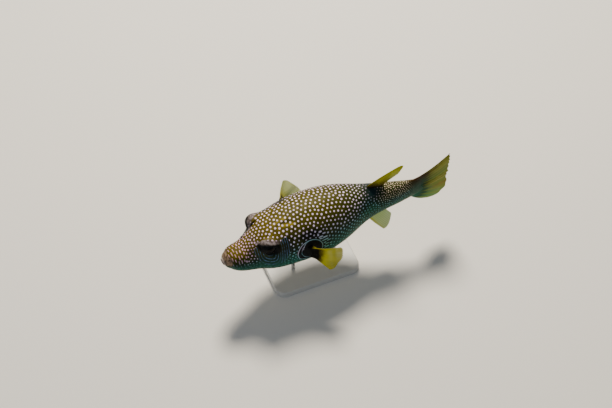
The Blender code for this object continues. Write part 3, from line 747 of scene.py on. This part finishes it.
# Dots fade out in the dark places, the dorsal fin's painted shadow among them, on the jaw and on the tail
# fin's root.
faded = (1 - np.minimum(1.15 * dorsal_patch_and_shadow, 1)) * (1 - 0.35 * around_black * (1 - dashes))
jaw = ease(TURN_ALL, 1.25, 1.60) * (1 - ease(S_ALL, 0.060, 0.085))
faded = faded * (1 - 0.60 * jaw) * (1 - far_root)
dots_end = 1 - ease(S_ALL, 0.242, 0.256)
patch_end = 0.0082 + 0.0030 * hill(TURN_ALL - 0.75, 0.55)
snout_patch = ease(S_ALL, 0.0034, 0.0048) * (1 - ease(S_ALL - patch_end, -0.0008, 0.0010))
belly_line = ease(np.cos(TURN_ALL * 26), 0.1, 0.7) * window(TURN_ALL, 2.15, 2.3, 2.95, 3.1)
for name, values in {
        "turn": TURN_ALL / math.pi + teal_rise,
        "along": S_ALL,
        "line_mm": line_mm,
        "eye_lines": eye_line_room(),
        "fin_ring": fin_ring,
        "fin_turn": fin_turn + 180,
        "inner_ring": inner_ring,
        "inner_show": window(front_turn, 92, 118, 245, 265),
        "dark": np.clip(dark_marks_and_shade, 0, 1),
        "dot_show": dot_room() * faded * (1 - lip) * dots_end,
        "brow_dots_and_light": brow_dots_and_light,
        "lip": lip,
        "snout_patch": snout_patch * (1 - ease(TURN_ALL, 1.3, 1.8)),
        "stripe": np.maximum(crease_light, 0.7 * upper_crease_light),
        "head_top": (1 - ease(S_ALL, 0.060, 0.100)) * (1 - ease(TURN_ALL, 0.45, 0.85)),
        "belly_stripe": belly_line * ease(S_ALL, 0.03, 0.06)}.items():
    put(skin_obj, name, values)

# ---- eyes and lids ----
# Each eye is a ball of polished resin with a clear wet coat: a dark pupil, a faint gold line round it
# and a blue-black iris, with the iris and the gold line painted near black as shade. A thin dark rim of
# skin, painted near black as shade like the skin round the eye, stands round the opening that the ball looks
# out of.
EYE_RINGS = 72
EYE_AROUND = 96
CORNEA_RISE = 0.0005
LID_ROUND = 0.00055
LID_SIDES = 14


def eye_paint():
    """Cast resin ball, painted behind a polished clear coat; the iris and its gold line are painted near
    black as shade.
    """
    polish = Paint("polished eye resin")
    fleck = polish.noise(polish.place(), 1400.0, 3.0)
    shifted = polish.calc("MULTIPLY_ADD", fleck, 0.05, polish.read("off_axis"))
    shaded_iris = polish.ramp(shifted, (0.00, "#010102"), (0.150, "#010102"), (0.154, "#2c2210"),
                       (0.160, "#1e1a10"), (0.168, "#04060a"), (0.32, "#04060a"), (0.45, "#030406"),
                       (1.00, "#030406"))
    return polish.finish({"Base Color": shaded_iris, "Roughness": 0.14, "Specular IOR Level": 0.04,
                          "Coat Weight": 0.05, "Coat Roughness": 0.03})


def shaded_lid_paint():
    """The lid's rim in satin resin painted near black as shade, like the skin beside it."""
    dark = Paint("dark lid resin")
    return dark.finish({"Base Color": "#030507", "Roughness": 0.45, "Specular IOR Level": 0.08})


def off_the_axis(axis, off, around):
    """Directions that lean this far off the axis, at these angles round it."""
    first = unit(np.cross(axis, UP))
    second = np.cross(axis, first)
    return (np.cos(off)[..., None] * axis + np.sin(off)[..., None]
            * (np.cos(around)[..., None] * first + np.sin(around)[..., None] * second))


eye_resin, shaded_lid_resin = eye_paint(), shaded_lid_paint()
around = np.linspace(0, 2 * math.pi, EYE_AROUND, endpoint=False)[None]
for side, word in ((1, "left"), (-1, "right")):
    centre, axis = eye_frame(side)
    off = np.radians(np.linspace(0.4, 179.6, EYE_RINGS))[:, None]
    radius = EYE_RADIUS + CORNEA_RISE * hill(np.degrees(off), 30)
    ball = centre + off_the_axis(axis, off, around) * radius[..., None]
    faces = grid_faces(EYE_RINGS, EYE_AROUND, True).tolist()
    pole = list(range(EYE_AROUND))
    faces += [pole, [(EYE_RINGS - 1) * EYE_AROUND + k for k in pole[::-1]]]
    eye = made("eyeball_" + word, ball, faces, eye_resin, "dark_eye", ("eye_" + word,))
    put(eye, "off_axis", np.repeat(off / math.pi, EYE_AROUND, axis=1))

    tube = np.linspace(0, 2 * math.pi, LID_SIDES, endpoint=False)[:, None]
    wave = 1 + 0.10 * np.sin(around * 5 + 1) * np.sin(around * 2)
    reach = EYE_RADIUS + 0.0002 + LID_ROUND * np.sin(tube) * wave
    lean = math.radians(LID_HALF_ANGLE) + LID_ROUND * 1.5 * np.cos(tube) / EYE_RADIUS
    rim = centre + off_the_axis(axis, lean, around) * reach[..., None]
    faces = grid_faces(LID_SIDES + 1, EYE_AROUND, True) % (LID_SIDES * EYE_AROUND)
    made("eyelid_" + word, rim, faces.tolist(), shaded_lid_resin, "spotted_skin")

# ---- teeth ----
# Puffers bite with a beak: each jaw is two plates of fused teeth that meet in a seam at the middle.
# The plates are cast in cream resin and set just inside the lips.
TOOTH_GAP = 0.00018
BITE_STEPS = 32
BEAK_RINGS = ((0.0, 0.55), (0.0001, 0.80), (0.0003, 0.93), (0.0007, 1.0), (0.0026, 1.0), (0.0044, 1.0))


def enamel():
    """Cast resin enamel: cream, glossy, faintly ribbed where the fused teeth grew."""
    cream = Paint("tooth enamel")
    rib = cream.noise(cream.place(), 900.0, 2.0)
    ribbed = cream.ramp(rib, (0.35, "#d9cdaf"), (0.65, "#efe8d6"))
    return cream.finish({"Base Color": ribbed, "Roughness": 0.28})


tooth_enamel = enamel()
half_across = MOUTH_HALF[0] - 0.0005
plate_height = MOUTH_HALF[1] - 0.0004
for word, way in (("upper", 1), ("lower", -1)):
    arc = np.linspace(-1, 1, BITE_STEPS + 1)
    seam = 1 - 0.35 * hill(arc, 0.03)
    rings = []
    for depth, shrink in BEAK_RINGS:
        edge = [(a * half_across * shrink, way * (TOOTH_GAP + 0.00012 * (1 - shrink))) for a in arc]
        crown = [(a * half_across * shrink,
                  way * (TOOTH_GAP + plate_height * shrink * math.sqrt(max(0, 1 - (0.97 * a)**2)) * n))
                 for a, n in zip(arc[::-1], seam[::-1])]
        outline = np.array(edge + crown)
        bite = 0.0011 * (1 - (outline[:, 0] / half_across)**2)
        rings.append(in_body(LIPS + 0.0009 - bite + depth, outline[:, 0], mid_level(LIPS) + outline[:, 1]))
    rings = np.array(rings)
    count = rings.shape[1]
    faces = grid_faces(len(rings), count, True).tolist()
    for start in (0, (len(rings) - 1) * count):
        for k in range(BITE_STEPS):
            quad = [start + k, start + k + 1, start + count - 2 - k, start + count - 1 - k]
            faces.append(quad[::-1] if start else quad)
    made("beak_plates_" + word, rings, faces, tooth_enamel, "tooth_enamel", ("beak_" + word,))

# ---- nostrils ----
# On each side of the snout stands a short forked flap of soft skin, split in two leaves at its top.
# It is cast with the head and painted a darker brown.
NOSTRIL_AT = (0.0335, 0.0108, 0.0185)
FLAP_RADIUS = 0.00125
FLAP_HEIGHT = 0.0024
FLAP_SIDES = 36
FLAP_PROFILE = ((1.35, -0.6), (1.15, -0.1), (1.0, 0.25), (1.0, 0.6), (1.08, 0.9), (1.0, 1.0), (0.8, 0.9),
                (0.6, 0.6), (0.5, 0.2), (0.2, 0.05))  # shares of the radius and of the height


def flap_paint():
    """Satin brown resin, mottled finely."""
    brown = Paint("brown nostril skin")
    grain = brown.noise(brown.place(), 1200.0, 2.0)
    mottled = brown.ramp(grain, (0.3, "#180a06"), (0.7, "#3c2216"))
    return brown.finish({"Base Color": mottled, "Roughness": 0.5})


flap_resin = flap_paint()
for side, word in ((1, "left"), (-1, "right")):
    s, out, rise = NOSTRIL_AT
    _, back, left = body_frame(s)
    up_way = unit(left * side * 0.62 + UP * 0.78)
    side_way = np.cross(back, up_way)
    foot = in_body(s, side * out, mid_level(s) + rise)
    turn = np.linspace(0, 2 * math.pi, FLAP_SIDES, endpoint=False)
    leaf = 0.45 + 0.55 * np.abs(np.cos(turn))
    rings = []
    for radius, height in FLAP_PROFILE:
        tall = FLAP_HEIGHT * (height * leaf if height > 0.2 else height)
        wide = FLAP_RADIUS * radius
        rings.append(foot + up_way * (tall + 0 * turn)[:, None] + back * (np.cos(turn) * wide)[:, None] * 1.1
                     + side_way * (np.sin(turn) * wide * 0.75)[:, None])
    faces = grid_faces(len(rings), FLAP_SIDES, True).tolist() + tube_ends(len(rings), FLAP_SIDES)
    made("nostril_flap_" + word, np.array(rings), faces, flap_resin, "spotted_skin", ("nostril_" + word,))

# ---- webs of the fins ----
# Each web is a thin sheet of tinted clear resin on a fleshy root. It is cast in one with the body,
# and gets paler and clearer towards its rim.
FIN_ROWS = 56
WEB_THICK = 0.00035
RAY_SHOULDER = 0.00030  # how much thicker the web is over a ray
RAY_FORKS = (0.34, 0.62)  # shares of the fin's length where each ray forks
FORK_SPREAD = (0.21, 0.10)  # how far the forks part, in shares of the room between two rays
PECTORAL_RAYS = 17
PECTORAL_SUNK = 0.0060  # how deep the root is let into the body
PECTORAL_HALF = 0.0105  # half the root's height
PECTORAL_LEAN = 0.0040  # how much further back the root's lower end is
PECTORAL_LOBE = (0.0030, 0.0150, 0.0)  # how far the fleshy lobe carries the fan back, out and up
PECTORAL_FLESH = (0.0070, 0.0070, 0.0062, 0.0046, 0.0030, 0.0020, 0.0015, 0.0012, 0.0010, 0.0009)
MIDLINE_RAYS = 10
MIDLINE_SUNK = 0.0045
MIDLINE_CURL = (1.35, 1.0, 0.80)  # they leave the body steeply, then sweep back
MIDLINE_FLESH = (0.0046, 0.0040, 0.0026, 0.0018, 0.0014, 0.0012, 0.0010, 0.0009)
TAIL_ROWS = 72
TAIL_RAYS = 10
TAIL_HALF = 0.0118
TAIL_SUNK = 0.0050
TAIL_FAN = (22.0, -40.0)  # degrees over the level of the first and of the last ray
TAIL_SWEEP = 0.14  # how far the middle rays sweep up over the fan's width
TAIL_LENGTH = fair_curve((0.0, 0.25, 0.50, 0.72, 0.88, 1.0),
                         (0.0615, 0.0572, 0.0566, 0.0580, 0.0480, 0.0330))
TAIL_FLESH = (0.0034, 0.0030, 0.0024, 0.0019, 0.0015, 0.0012, 0.0011, 0.0010, 0.0009)
sheets = {}


def blend_to(start, end, share):
    return np.asarray(start, float) * (1 - share) + np.asarray(end, float) * share


def fan_shares(rows, rays, columns_to_a_ray):
    """Shares of the fin's length, down its rows, and of its width, over its columns."""
    return np.linspace(0, 1, rows)[:, None], np.linspace(0, 1, rays * columns_to_a_ray + 1)[None]


def rim_swell(across, roundness):
    """How much longer the middle of a rounded fin is than its edges."""
    return 1 + roundness * np.clip(np.sin(math.pi * across), 0, 1) ** 0.7


def scallop(along, across, rays, depth):
    """The rim dips a little between each ray and the next."""
    return 1 - depth * along**4 * (1 - np.cos(2 * math.pi * rays * across)) / 2


def ray_relief(along, across, count):
    """1 on a ray and 0 on the web between; each ray splits in two and then in four."""
    cell = np.abs((across * count) % 1 - 0.5)
    for start, half in zip(RAY_FORKS, FORK_SPREAD):
        cell = np.abs(cell - half * ease(along, start, 1.15))
    return hill(cell, 0.16 - 0.06 * along)


def fin_web(name, sheet, along, across, thick, count, material, slot_name, node):
    """Gives the fin's middle sheet its thickness: a fleshy root, a thin web and a thinner rim."""
    rows, columns = sheet.shape[:2]
    along, across = np.broadcast_arrays(along, across)
    way = unit(np.cross(np.gradient(sheet, axis=0), np.gradient(sheet, axis=1)))
    ray = ray_relief(along, across, count)
    rim = np.minimum.reduce([(1 - along) / 0.02, (across + 0.006) / 0.02, (1.006 - across) / 0.02])
    rim = 0.35 + 0.65 * np.clip(rim, 0, 1)
    wall = WEB_THICK + ray * RAY_SHOULDER * (1 - 0.55 * along)
    flesh = np.interp(along, np.linspace(0, 1, len(thick)), thick)
    share = ease(along, 0.08, 0.42)
    half = (flesh * (1 - share) + np.minimum(wall, flesh) * share) / 2 * rim
    points = np.concatenate([sheet + way * half[..., None], sheet - way * half[..., None]])
    flat = grid_faces(rows, columns, False)
    other = rows * columns
    faces = flat.tolist() + (flat[:, ::-1] + other).tolist()
    outline = list(range(columns)) + [r * columns + columns - 1 for r in range(1, rows)]
    outline += [(rows - 1) * columns + c for c in range(columns - 2, -1, -1)]
    outline += [r * columns for r in range(rows - 2, 0, -1)]
    for here, there in zip(outline, outline[1:] + outline[:1]):
        faces.append([here, there, other + there, other + here][::-1])
    fin = made(name, points, faces, material, slot_name, (node,))
    for key, values in (("ray", ray), ("outward", along), ("across", across)):
        put(fin, key, np.concatenate([values, values]))
    sheets[name] = (sheet, count, material, slot_name)


def fin_resin(name, near, far, ray_colour, root, root_reach, rim_clear, bare_ray=(-1.0, -0.5)):
    """Tinted cast resin. near and far are the web's colours from the first edge to the last, at its
    root and at its rim; root is the flesh at the body, with a brown fringe where it ends. bare_ray is how
    wide the first ray is that the flesh leaves bare."""
    tint = Paint(name)
    read, calc, remap, mix, ramp = tint.read, tint.calc, tint.remap, tint.mix, tint.ramp
    ray, outward, across = read("ray"), read("outward"), read("across")
    cloud = tint.noise(tint.place(), 160.0, 3.0)
    wander = calc("MULTIPLY_ADD", calc("SUBTRACT", cloud, 0.5), 0.10, across)
    to_rim = remap(calc("MULTIPLY_ADD", cloud, 0.25, outward), 0.45, 1.0)
    paint = mix(to_rim, ramp(wander, *near), ramp(wander, *far))
    paint = mix(calc("MULTIPLY", ray, 0.68), paint, ray_colour)
    low, high = root_reach
    reach = calc("MULTIPLY_ADD", ray, 0.10, calc("MULTIPLY_ADD", cloud, 0.16, outward))
    bare_edge = remap(across, *bare_ray)
    fringe = calc("MULTIPLY", remap(reach, low + 0.04, high + 0.08, 1.0, 0.0), bare_edge)
    paint = mix(fringe, paint, "#2a1204")
    flesh = calc("MULTIPLY", remap(reach, low, high, 1.0, 0.0), remap(outward, 0.20, 0.36, 1.0, bare_edge))
    paint = mix(flesh, paint, ramp(wander, *root))
    clear = remap(outward, 0.35, 1.0, 1.0, rim_clear)
    alpha = calc("MULTIPLY_ADD", calc("MAXIMUM", ray, flesh), 0.22, clear, use_clamp=True)
    return tint.finish({"Base Color": paint, "Alpha": alpha, "Roughness": 0.50, "Specular IOR Level": 0.05})


def plain(code):
    """The same colour from edge to edge."""
    return (0.0, code), (1.0, code)


yellow_fan = fin_resin(
    "yellow pectoral resin", ((0.0, "#a49a14"), (1.0, "#c0ba18")), ((0.0, "#c0c024"), (1.0, "#c8c42a")),
    "#7e720e", plain("#000000"), (0.48, 0.62), 0.46, (0.02, 0.06))
# A lit copy of the left fan's resin: the right fan's paler, greener rim is painted light from behind.
backlit_fan = fin_resin(
    "yellow-green pectoral resin", ((0.0, "#8c8408"), (1.0, "#96920e")),
    ((0.0, "#bcc880"), (1.0, "#b6c28a")), "#a8a848", plain("#000000"), (0.44, 0.52), 0.55, (0.02, 0.06))
dorsal_olive = fin_resin(
    "olive dorsal resin", ((0.0, "#685e06"), (0.35, "#948e0c"), (0.8, "#483f04"), (1.0, "#221603")),
    ((0.0, "#a4a810"), (0.6, "#b2b634"), (1.0, "#b6be64")), "#a49e14", plain("#050201"), (0.20, 0.42), 0.60)
anal_green = fin_resin(
    "yellow-green anal resin", ((0.0, "#b0ac08"), (0.10, "#b6b648"), (0.2, "#b0c880"), (1.0, "#a8c482")),
    ((0.0, "#c0bc20"), (0.12, "#bcca7c"), (1.0, "#c0d89a")), "#bcca88", plain("#2c3a20"), (0.06, 0.20), 0.70)
# The pale lines at 0.50 and 0.575 across lie on the fin's two creases: painted highlights on the folds.
tail_olive_with_crease_light = fin_resin(
    "olive tail resin",
    ((0.0, "#3c260e"), (0.12, "#4a380c"), (0.22, "#4a541c"), (0.36, "#344a1e"), (0.45, "#46602a"),
     (0.50, "#8e8430"), (0.535, "#3a5a28"), (0.575, "#8c8230"), (0.64, "#3c6e3c"), (0.82, "#386a48"),
     (1.0, "#3e704c")),
    ((0.0, "#6c5a14"), (0.10, "#7e781a"), (0.22, "#80802a"), (0.36, "#5e6c28"), (0.46, "#6a7a30"),
     (0.50, "#989244"), (0.535, "#66742c"), (0.575, "#989040"), (0.63, "#6c7e38"), (0.70, "#8a7a30"),
     (0.84, "#668e44"), (1.0, "#5c8e4c")),
    "#7c8632", ((0.0, "#3c2612"), (0.14, "#2a2a14"), (0.32, "#18442f"), (1.0, "#26624a")),
    (0.34, 0.64), 0.90)


def pectoral(word, side, first, last, roundness, material):
    """The fan behind the gill slit, on a fleshy black lobe."""
    _, back, left = body_frame(PECTORAL_AT[0])
    along, across = fan_shares(FIN_ROWS, PECTORAL_RAYS, 8)
    s = PECTORAL_AT[0] + PECTORAL_LEAN * (across - 0.5)
    sheet = in_body(s, side * (half_width(PECTORAL_AT[0]) - PECTORAL_SUNK) + 0 * across,
                    PECTORAL_AT[1] + PECTORAL_HALF * (1 - 2 * across))
    sheet = np.repeat(sheet, FIN_ROWS, axis=0)
    swell = rim_swell(across, roundness) * scallop(along, across, PECTORAL_RAYS, 0.018)
    for way, reach, start, end in zip((back, left * side, UP), PECTORAL_LOBE, first, last):
        lobe = reach * (1 - (1 - along) ** 3)
        fan = along ** 1.7 * (blend_to(start, end, across) * swell)
        sheet = sheet + (lobe + fan)[..., None] * way
    wave = 0.0006 * along**2 * np.sin(2 * math.pi * across * 2.5 + side)
    sheet = sheet + wave[..., None] * left * side
    fin_web("pectoral_web_" + word, sheet, along, across, PECTORAL_FLESH, PECTORAL_RAYS, material,
            "yellow_fin", "pectoral_fin_" + word)


def midline(name, span, top, first, last, roundness, bow, material):
    """The dorsal or the anal fin, rooted in the body's midline."""
    along, across = fan_shares(FIN_ROWS, MIDLINE_RAYS, 10)
    s = span[0] + (span[1] - span[0]) * across
    height = back_height(s) - MIDLINE_SUNK if top else MIDLINE_SUNK - belly_depth(s)
    sheet = np.repeat(in_body(s, 0 * s, mid_level(s) + height), FIN_ROWS, axis=0)
    _, back, left = body_frame(sum(span) / 2)
    swell = rim_swell(across, roundness) * scallop(along, across, MIDLINE_RAYS, 0.015)
    for way, curl, start, end in zip((back, left, UP), MIDLINE_CURL, first, last):
        sheet = sheet + (along ** curl * blend_to(start, end, across) * swell)[..., None] * way
    sheet = sheet + (bow * np.sin(math.pi * along) + 0 * across)[..., None] * left
    fin_web(name + "_web", sheet, along, across, MIDLINE_FLESH, MIDLINE_RAYS, material, "yellow_fin", name)


def tail_fan():
    """The tail fin: a fan of forked rays with a slight ripple across it."""
    along, across = fan_shares(TAIL_ROWS, TAIL_RAYS, 14)
    place, back, left = body_frame(BODY_LENGTH - TAIL_SUNK)
    lane = across - TAIL_SWEEP * along * 4 * across * (1 - across)
    roots = place + UP * (mid_level(BODY_LENGTH) + TAIL_HALF * (1 - 2 * lane))[..., None]
    swing = math.radians(TAIL_SWING)
    length = TAIL_LENGTH(lane) * scallop(along, across, TAIL_RAYS, 0.02)
    angle = np.radians(blend_to(*TAIL_FAN, lane))
    level = length * np.cos(angle) * along
    sheet = roots + level[..., None] * (back * math.cos(swing) - left * math.sin(swing))
    sheet = sheet + (length * np.sin(angle) * along)[..., None] * UP
    fold = 0.0011 * along * np.sin(3 * math.pi * lane) + 0.0005 * along**2 * np.sin(7 * math.pi * lane)
    fold = fold + TAIL_BOW * np.sin(math.pi * along)
    crease = hill(across - 0.50, 0.022) + 0.8 * hill(across - 0.575, 0.018)
    fold = fold + 0.0013 * ease(along, 0.08, 0.35) * crease
    sheet = sheet + fold[..., None] * left
    fin_web("tail_web", sheet, along, across, TAIL_FLESH, TAIL_RAYS, tail_olive_with_crease_light, "olive_fin", "tail_fin")


pectoral("left", 1, (0.0291, 0.0106, 0.0021), (0.0106, 0.0114, -0.0128), 0.32, yellow_fan)
pectoral("right", -1, (0.0146, 0.0174, 0.0020), (0.0312, 0.0058, -0.0144), 0.36, backlit_fan)
midline("dorsal_fin", DORSAL_AT, True, (0.0415, 0.0010, 0.0296), (0.0213, 0.0018, 0.0212), 0.20, 0.0006,
        dorsal_olive)
midline("anal_fin", ANAL_AT, False, (0.0206, 0.0130, -0.0281), (0.0106, 0.0080, -0.0132), 0.14, -0.0015,
        anal_green)
tail_fan()

# ---- rays of the fins ----
# Soft rays of the same resin stiffen each web. Each is a thin round rod that forks in two and then in
# four; Geometry Nodes give the rods' centre lines their taper and their round section.
RAY_SIDES = 8
RAY_RADIUS = 0.00042
RAY_TAPER = ((0.0, 1.0), (0.34, 0.84), (0.62, 0.62), (1.0, 0.40))
RAY_STEPS = 12
RAY_START = 0.12  # shares of the fin's length
RAY_END = 0.985
EDGE_RAYS = (0.006, 0.994)  # shares of the fin's width


def ray_builder():
    """A node group that turns centre lines with a taper into round rods."""
    group = bpy.data.node_groups.new("round fin rays", "GeometryNodeTree")
    sockets = group.interface
    sockets.new_socket("Centre lines", in_out="INPUT", socket_type="NodeSocketGeometry")
    keys = {}
    for label, kind in (("Root radius", "Float"), ("Sides", "Int"), ("Resin", "Material")):
        socket = sockets.new_socket(label, in_out="INPUT", socket_type="NodeSocket" + kind)
        keys[label] = socket.identifier
    sockets.new_socket("Rays", in_out="OUTPUT", socket_type="NodeSocketGeometry")

    def node(kind, **settings):
        made_node = group.nodes.new(kind)
        for key, value in settings.items():
            setattr(made_node, key, value)
        return made_node

    source = node("NodeGroupInput")
    chain = [source] + [node("GeometryNode" + kind) for kind in (
        "MeshToCurve", "CurveToMesh", "RealizeInstances", "SetMaterial")]
    chain.append(node("NodeGroupOutput"))
    for before, after in zip(chain, chain[1:]):
        group.links.new(before.outputs[0], after.inputs[0])
    sweep, finish = chain[2], chain[4]
    taper = node("GeometryNodeInputNamedAttribute", data_type="FLOAT")
    taper.inputs["Name"].default_value = "taper"
    radius = node("ShaderNodeMath", operation="MULTIPLY")
    group.links.new(taper.outputs["Attribute"], radius.inputs[0])
    group.links.new(source.outputs["Root radius"], radius.inputs[1])
    group.links.new(radius.outputs[0], sweep.inputs["Scale"])
    ring = node("GeometryNodeCurvePrimitiveCircle")
    ring.inputs["Radius"].default_value = 1.0
    group.links.new(source.outputs["Sides"], ring.inputs["Resolution"])
    group.links.new(ring.outputs["Curve"], sweep.inputs["Profile Curve"])
    sweep.inputs["Fill Caps"].default_value = True
    group.links.new(source.outputs["Resin"], finish.inputs["Material"])
    return group, keys


def on_sheet(sheet, along, across):
    """Points of the fin's middle sheet at these shares of its length and width."""
    rows, columns = sheet.shape[:2]
    r = np.clip(along * (rows - 1), 0, rows - 1.001)
    c = np.clip(across * (columns - 1), 0, columns - 1.001)
    i, j = r.astype(int), c.astype(int)
    u, v = (r - i)[:, None], (c - j)[:, None]
    near = sheet[i, j] * (1 - v) + sheet[i, j + 1] * v
    return near * (1 - u) + (sheet[i + 1, j] * (1 - v) + sheet[i + 1, j + 1] * v) * u


def ray_chains(count):
    """Each stretch of each ray between forks, as shares of the fin's length and width."""
    along = np.linspace(RAY_START, 0.995, RAY_STEPS * 3)
    chains = [(along, np.full(len(along), edge)) for edge in EDGE_RAYS]
    first, second = RAY_FORKS
    spans = ((RAY_START, first, ((0, 0),)), (first, second, ((-1, 0), (1, 0))),
             (second, RAY_END, ((-1, -1), (-1, 1), (1, -1), (1, 1))))
    for k in range(count):
        for low, high, signs in spans:
            along = np.linspace(low, high, RAY_STEPS)
            for sign in signs:
                shift = sum(way * half * ease(along, start, 1.15)
                            for way, half, start in zip(sign, FORK_SPREAD, RAY_FORKS))
                chains.append((along, (k + 0.5 + shift) / count))
    return chains


def solid_resin(web_resin):
    """The same tint without the web's clearness: the rays are too thick to see through."""
    material = web_resin.copy()
    material.name = web_resin.name.replace("resin", "ray resin")
    alpha = material.node_tree.nodes["Principled BSDF"].inputs["Alpha"]
    material.node_tree.links.remove(alpha.links[0])
    alpha.default_value = 1.0
    return material


ray_group, ray_keys = ray_builder()
for web, (sheet, count, web_resin, slot_name) in sheets.items():
    material = solid_resin(web_resin)
    chains = ray_chains(count)
    along = np.concatenate([a for a, _ in chains])
    across = np.concatenate([b for _, b in chains])
    edges = []
    start = 0
    for one, _ in chains:
        edges += [(start + k, start + k + 1) for k in range(len(one) - 1)]
        start += len(one)
    mesh = bpy.data.meshes.new(web + "_lines")
    mesh.from_pydata(on_sheet(sheet, along, across).tolist(), edges, [])
    lines = bpy.data.objects.new(web + "_lines", mesh)
    bpy.context.scene.collection.objects.link(lines)
    for key, values in (("outward", along), ("across", across), ("ray", np.ones(len(along))),
                        ("taper", np.interp(along, *zip(*RAY_TAPER)))):
        put(lines, key, values)
    nodes = lines.modifiers.new("rays", "NODES")
    nodes.node_group = ray_group
    for label, value in (("Root radius", RAY_RADIUS), ("Sides", RAY_SIDES), ("Resin", material)):
        nodes[ray_keys[label]] = value
    graph = bpy.context.evaluated_depsgraph_get()
    rods = bpy.data.meshes.new_from_object(lines.evaluated_get(graph), preserve_all_data_layers=True,
                                           depsgraph=graph)
    bpy.data.objects.remove(lines)
    placed(web.replace("web", "rays"), rods, material, slot_name)

# ---- stand ----
# A rounded aluminium plate in light grey powder coat, and two rods of brushed stainless steel that are
# screwed to it and let into the belly.


def powder_coat():
    """Light grey powder coat: an even, slightly orange-peel film on aluminium."""
    grey = Paint("light grey powder coat")
    peel = grey.noise(grey.place(), 900.0, 1.0)
    bumped = grey.add("Bump", {"Height": peel, "Strength": 0.15, "Distance": 0.0003})
    return grey.finish({"Base Color": "#bdbdb9", "Roughness": 0.5, "Normal": bumped})


def brushed_steel():
    """Stainless steel rod, brushed round its length, which blurs what it reflects."""
    bright = Paint("brushed stainless steel")
    lines = bright.add("Mapping", {"Vector": bright.place(), "Scale": (300.0, 300.0, 9000.0)})
    brush = bright.noise(lines, 1.0, 2.0)
    rough = bright.add("MapRange", {0: brush, 1: 0.3, 2: 0.7, 3: 0.24, 4: 0.38})
    return bright.finish({"Base Color": "#c3c4c6", "Metallic": 1.0, "Roughness": rough})


coat, steel = powder_coat(), brushed_steel()
for node, material, slot_name in (("stand_base", coat, "grey_powder_coat"),
                                  ("stand_rod_front", steel, "brushed_steel"),
                                  ("stand_rod_rear", steel, "brushed_steel")):
    stand_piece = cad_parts[node]
    stand_piece.data.materials.clear()
    stand_piece.data.materials.append(material)

# ---- floor, light and camera ----
# A plain pale floor, a soft key light high on the fish's right side, and a weak fill.
FLOOR_HALF = 6.0
AIM = Vector((-0.0041, -0.0055, 0.0880))
AZIMUTH, ELEVATION = math.radians(-23), math.radians(53)
DISTANCE = 1.73


def staged(name, data):
    """Puts something in the scene that is no part of the model."""
    obj = bpy.data.objects.new(name, data)
    bpy.context.scene.collection.objects.link(obj)
    return obj


def aim(obj, place, way):
    """Stands a light or the camera there, looking that way."""
    obj.location = place
    obj.rotation_mode = "QUATERNION"
    obj.rotation_quaternion = way.to_track_quat("-Z", "Y")


def area_light(name, place, size, power, tint):
    data = bpy.data.lights.new(name, "AREA")
    data.shape = "DISK"
    data.size = size
    data.energy = power
    data.color = colour(tint)[:3]
    aim(staged(name, data), place, AIM - Vector(place))


floor = bpy.data.meshes.new("studio_floor")
corners = [(x * FLOOR_HALF, y * FLOOR_HALF, 0) for x, y in ((-1, -1), (1, -1), (1, 1), (-1, 1))]
floor.from_pydata(corners, [], [(0, 1, 2, 3)])
floor.materials.append(Paint("pale studio floor").finish({"Base Color": "#dcdad4", "Roughness": 0.8}))
staged("studio_floor", floor)
area_light("key_light", (0.35, 1.05, 1.70), 0.6, 82.0, "#fff4e2")
area_light("fill_light", (-1.2, -1.1, 1.3), 1.4, 7.0, "#e4eeff")
world = bpy.data.worlds.new("studio")
bpy.context.scene.world = world
world.use_nodes = True
world.node_tree.nodes["Background"].inputs["Color"].default_value = colour("#dfe4ea")
world.node_tree.nodes["Background"].inputs["Strength"].default_value = 0.25

to_camera = Vector((math.sin(AZIMUTH) * math.cos(ELEVATION), -math.cos(AZIMUTH) * math.cos(ELEVATION),
                    math.sin(ELEVATION)))
camera_data = bpy.data.cameras.new("camera")
camera_data.lens = 85
camera_data.sensor_width = 36
camera_data.shift_x = -0.0451
camera_data.shift_y = 0.0181
camera = bpy.data.objects.new("camera", camera_data)
bpy.context.scene.collection.objects.link(camera)
aim(camera, AIM + to_camera * DISTANCE, -to_camera)
bpy.context.scene.camera = camera
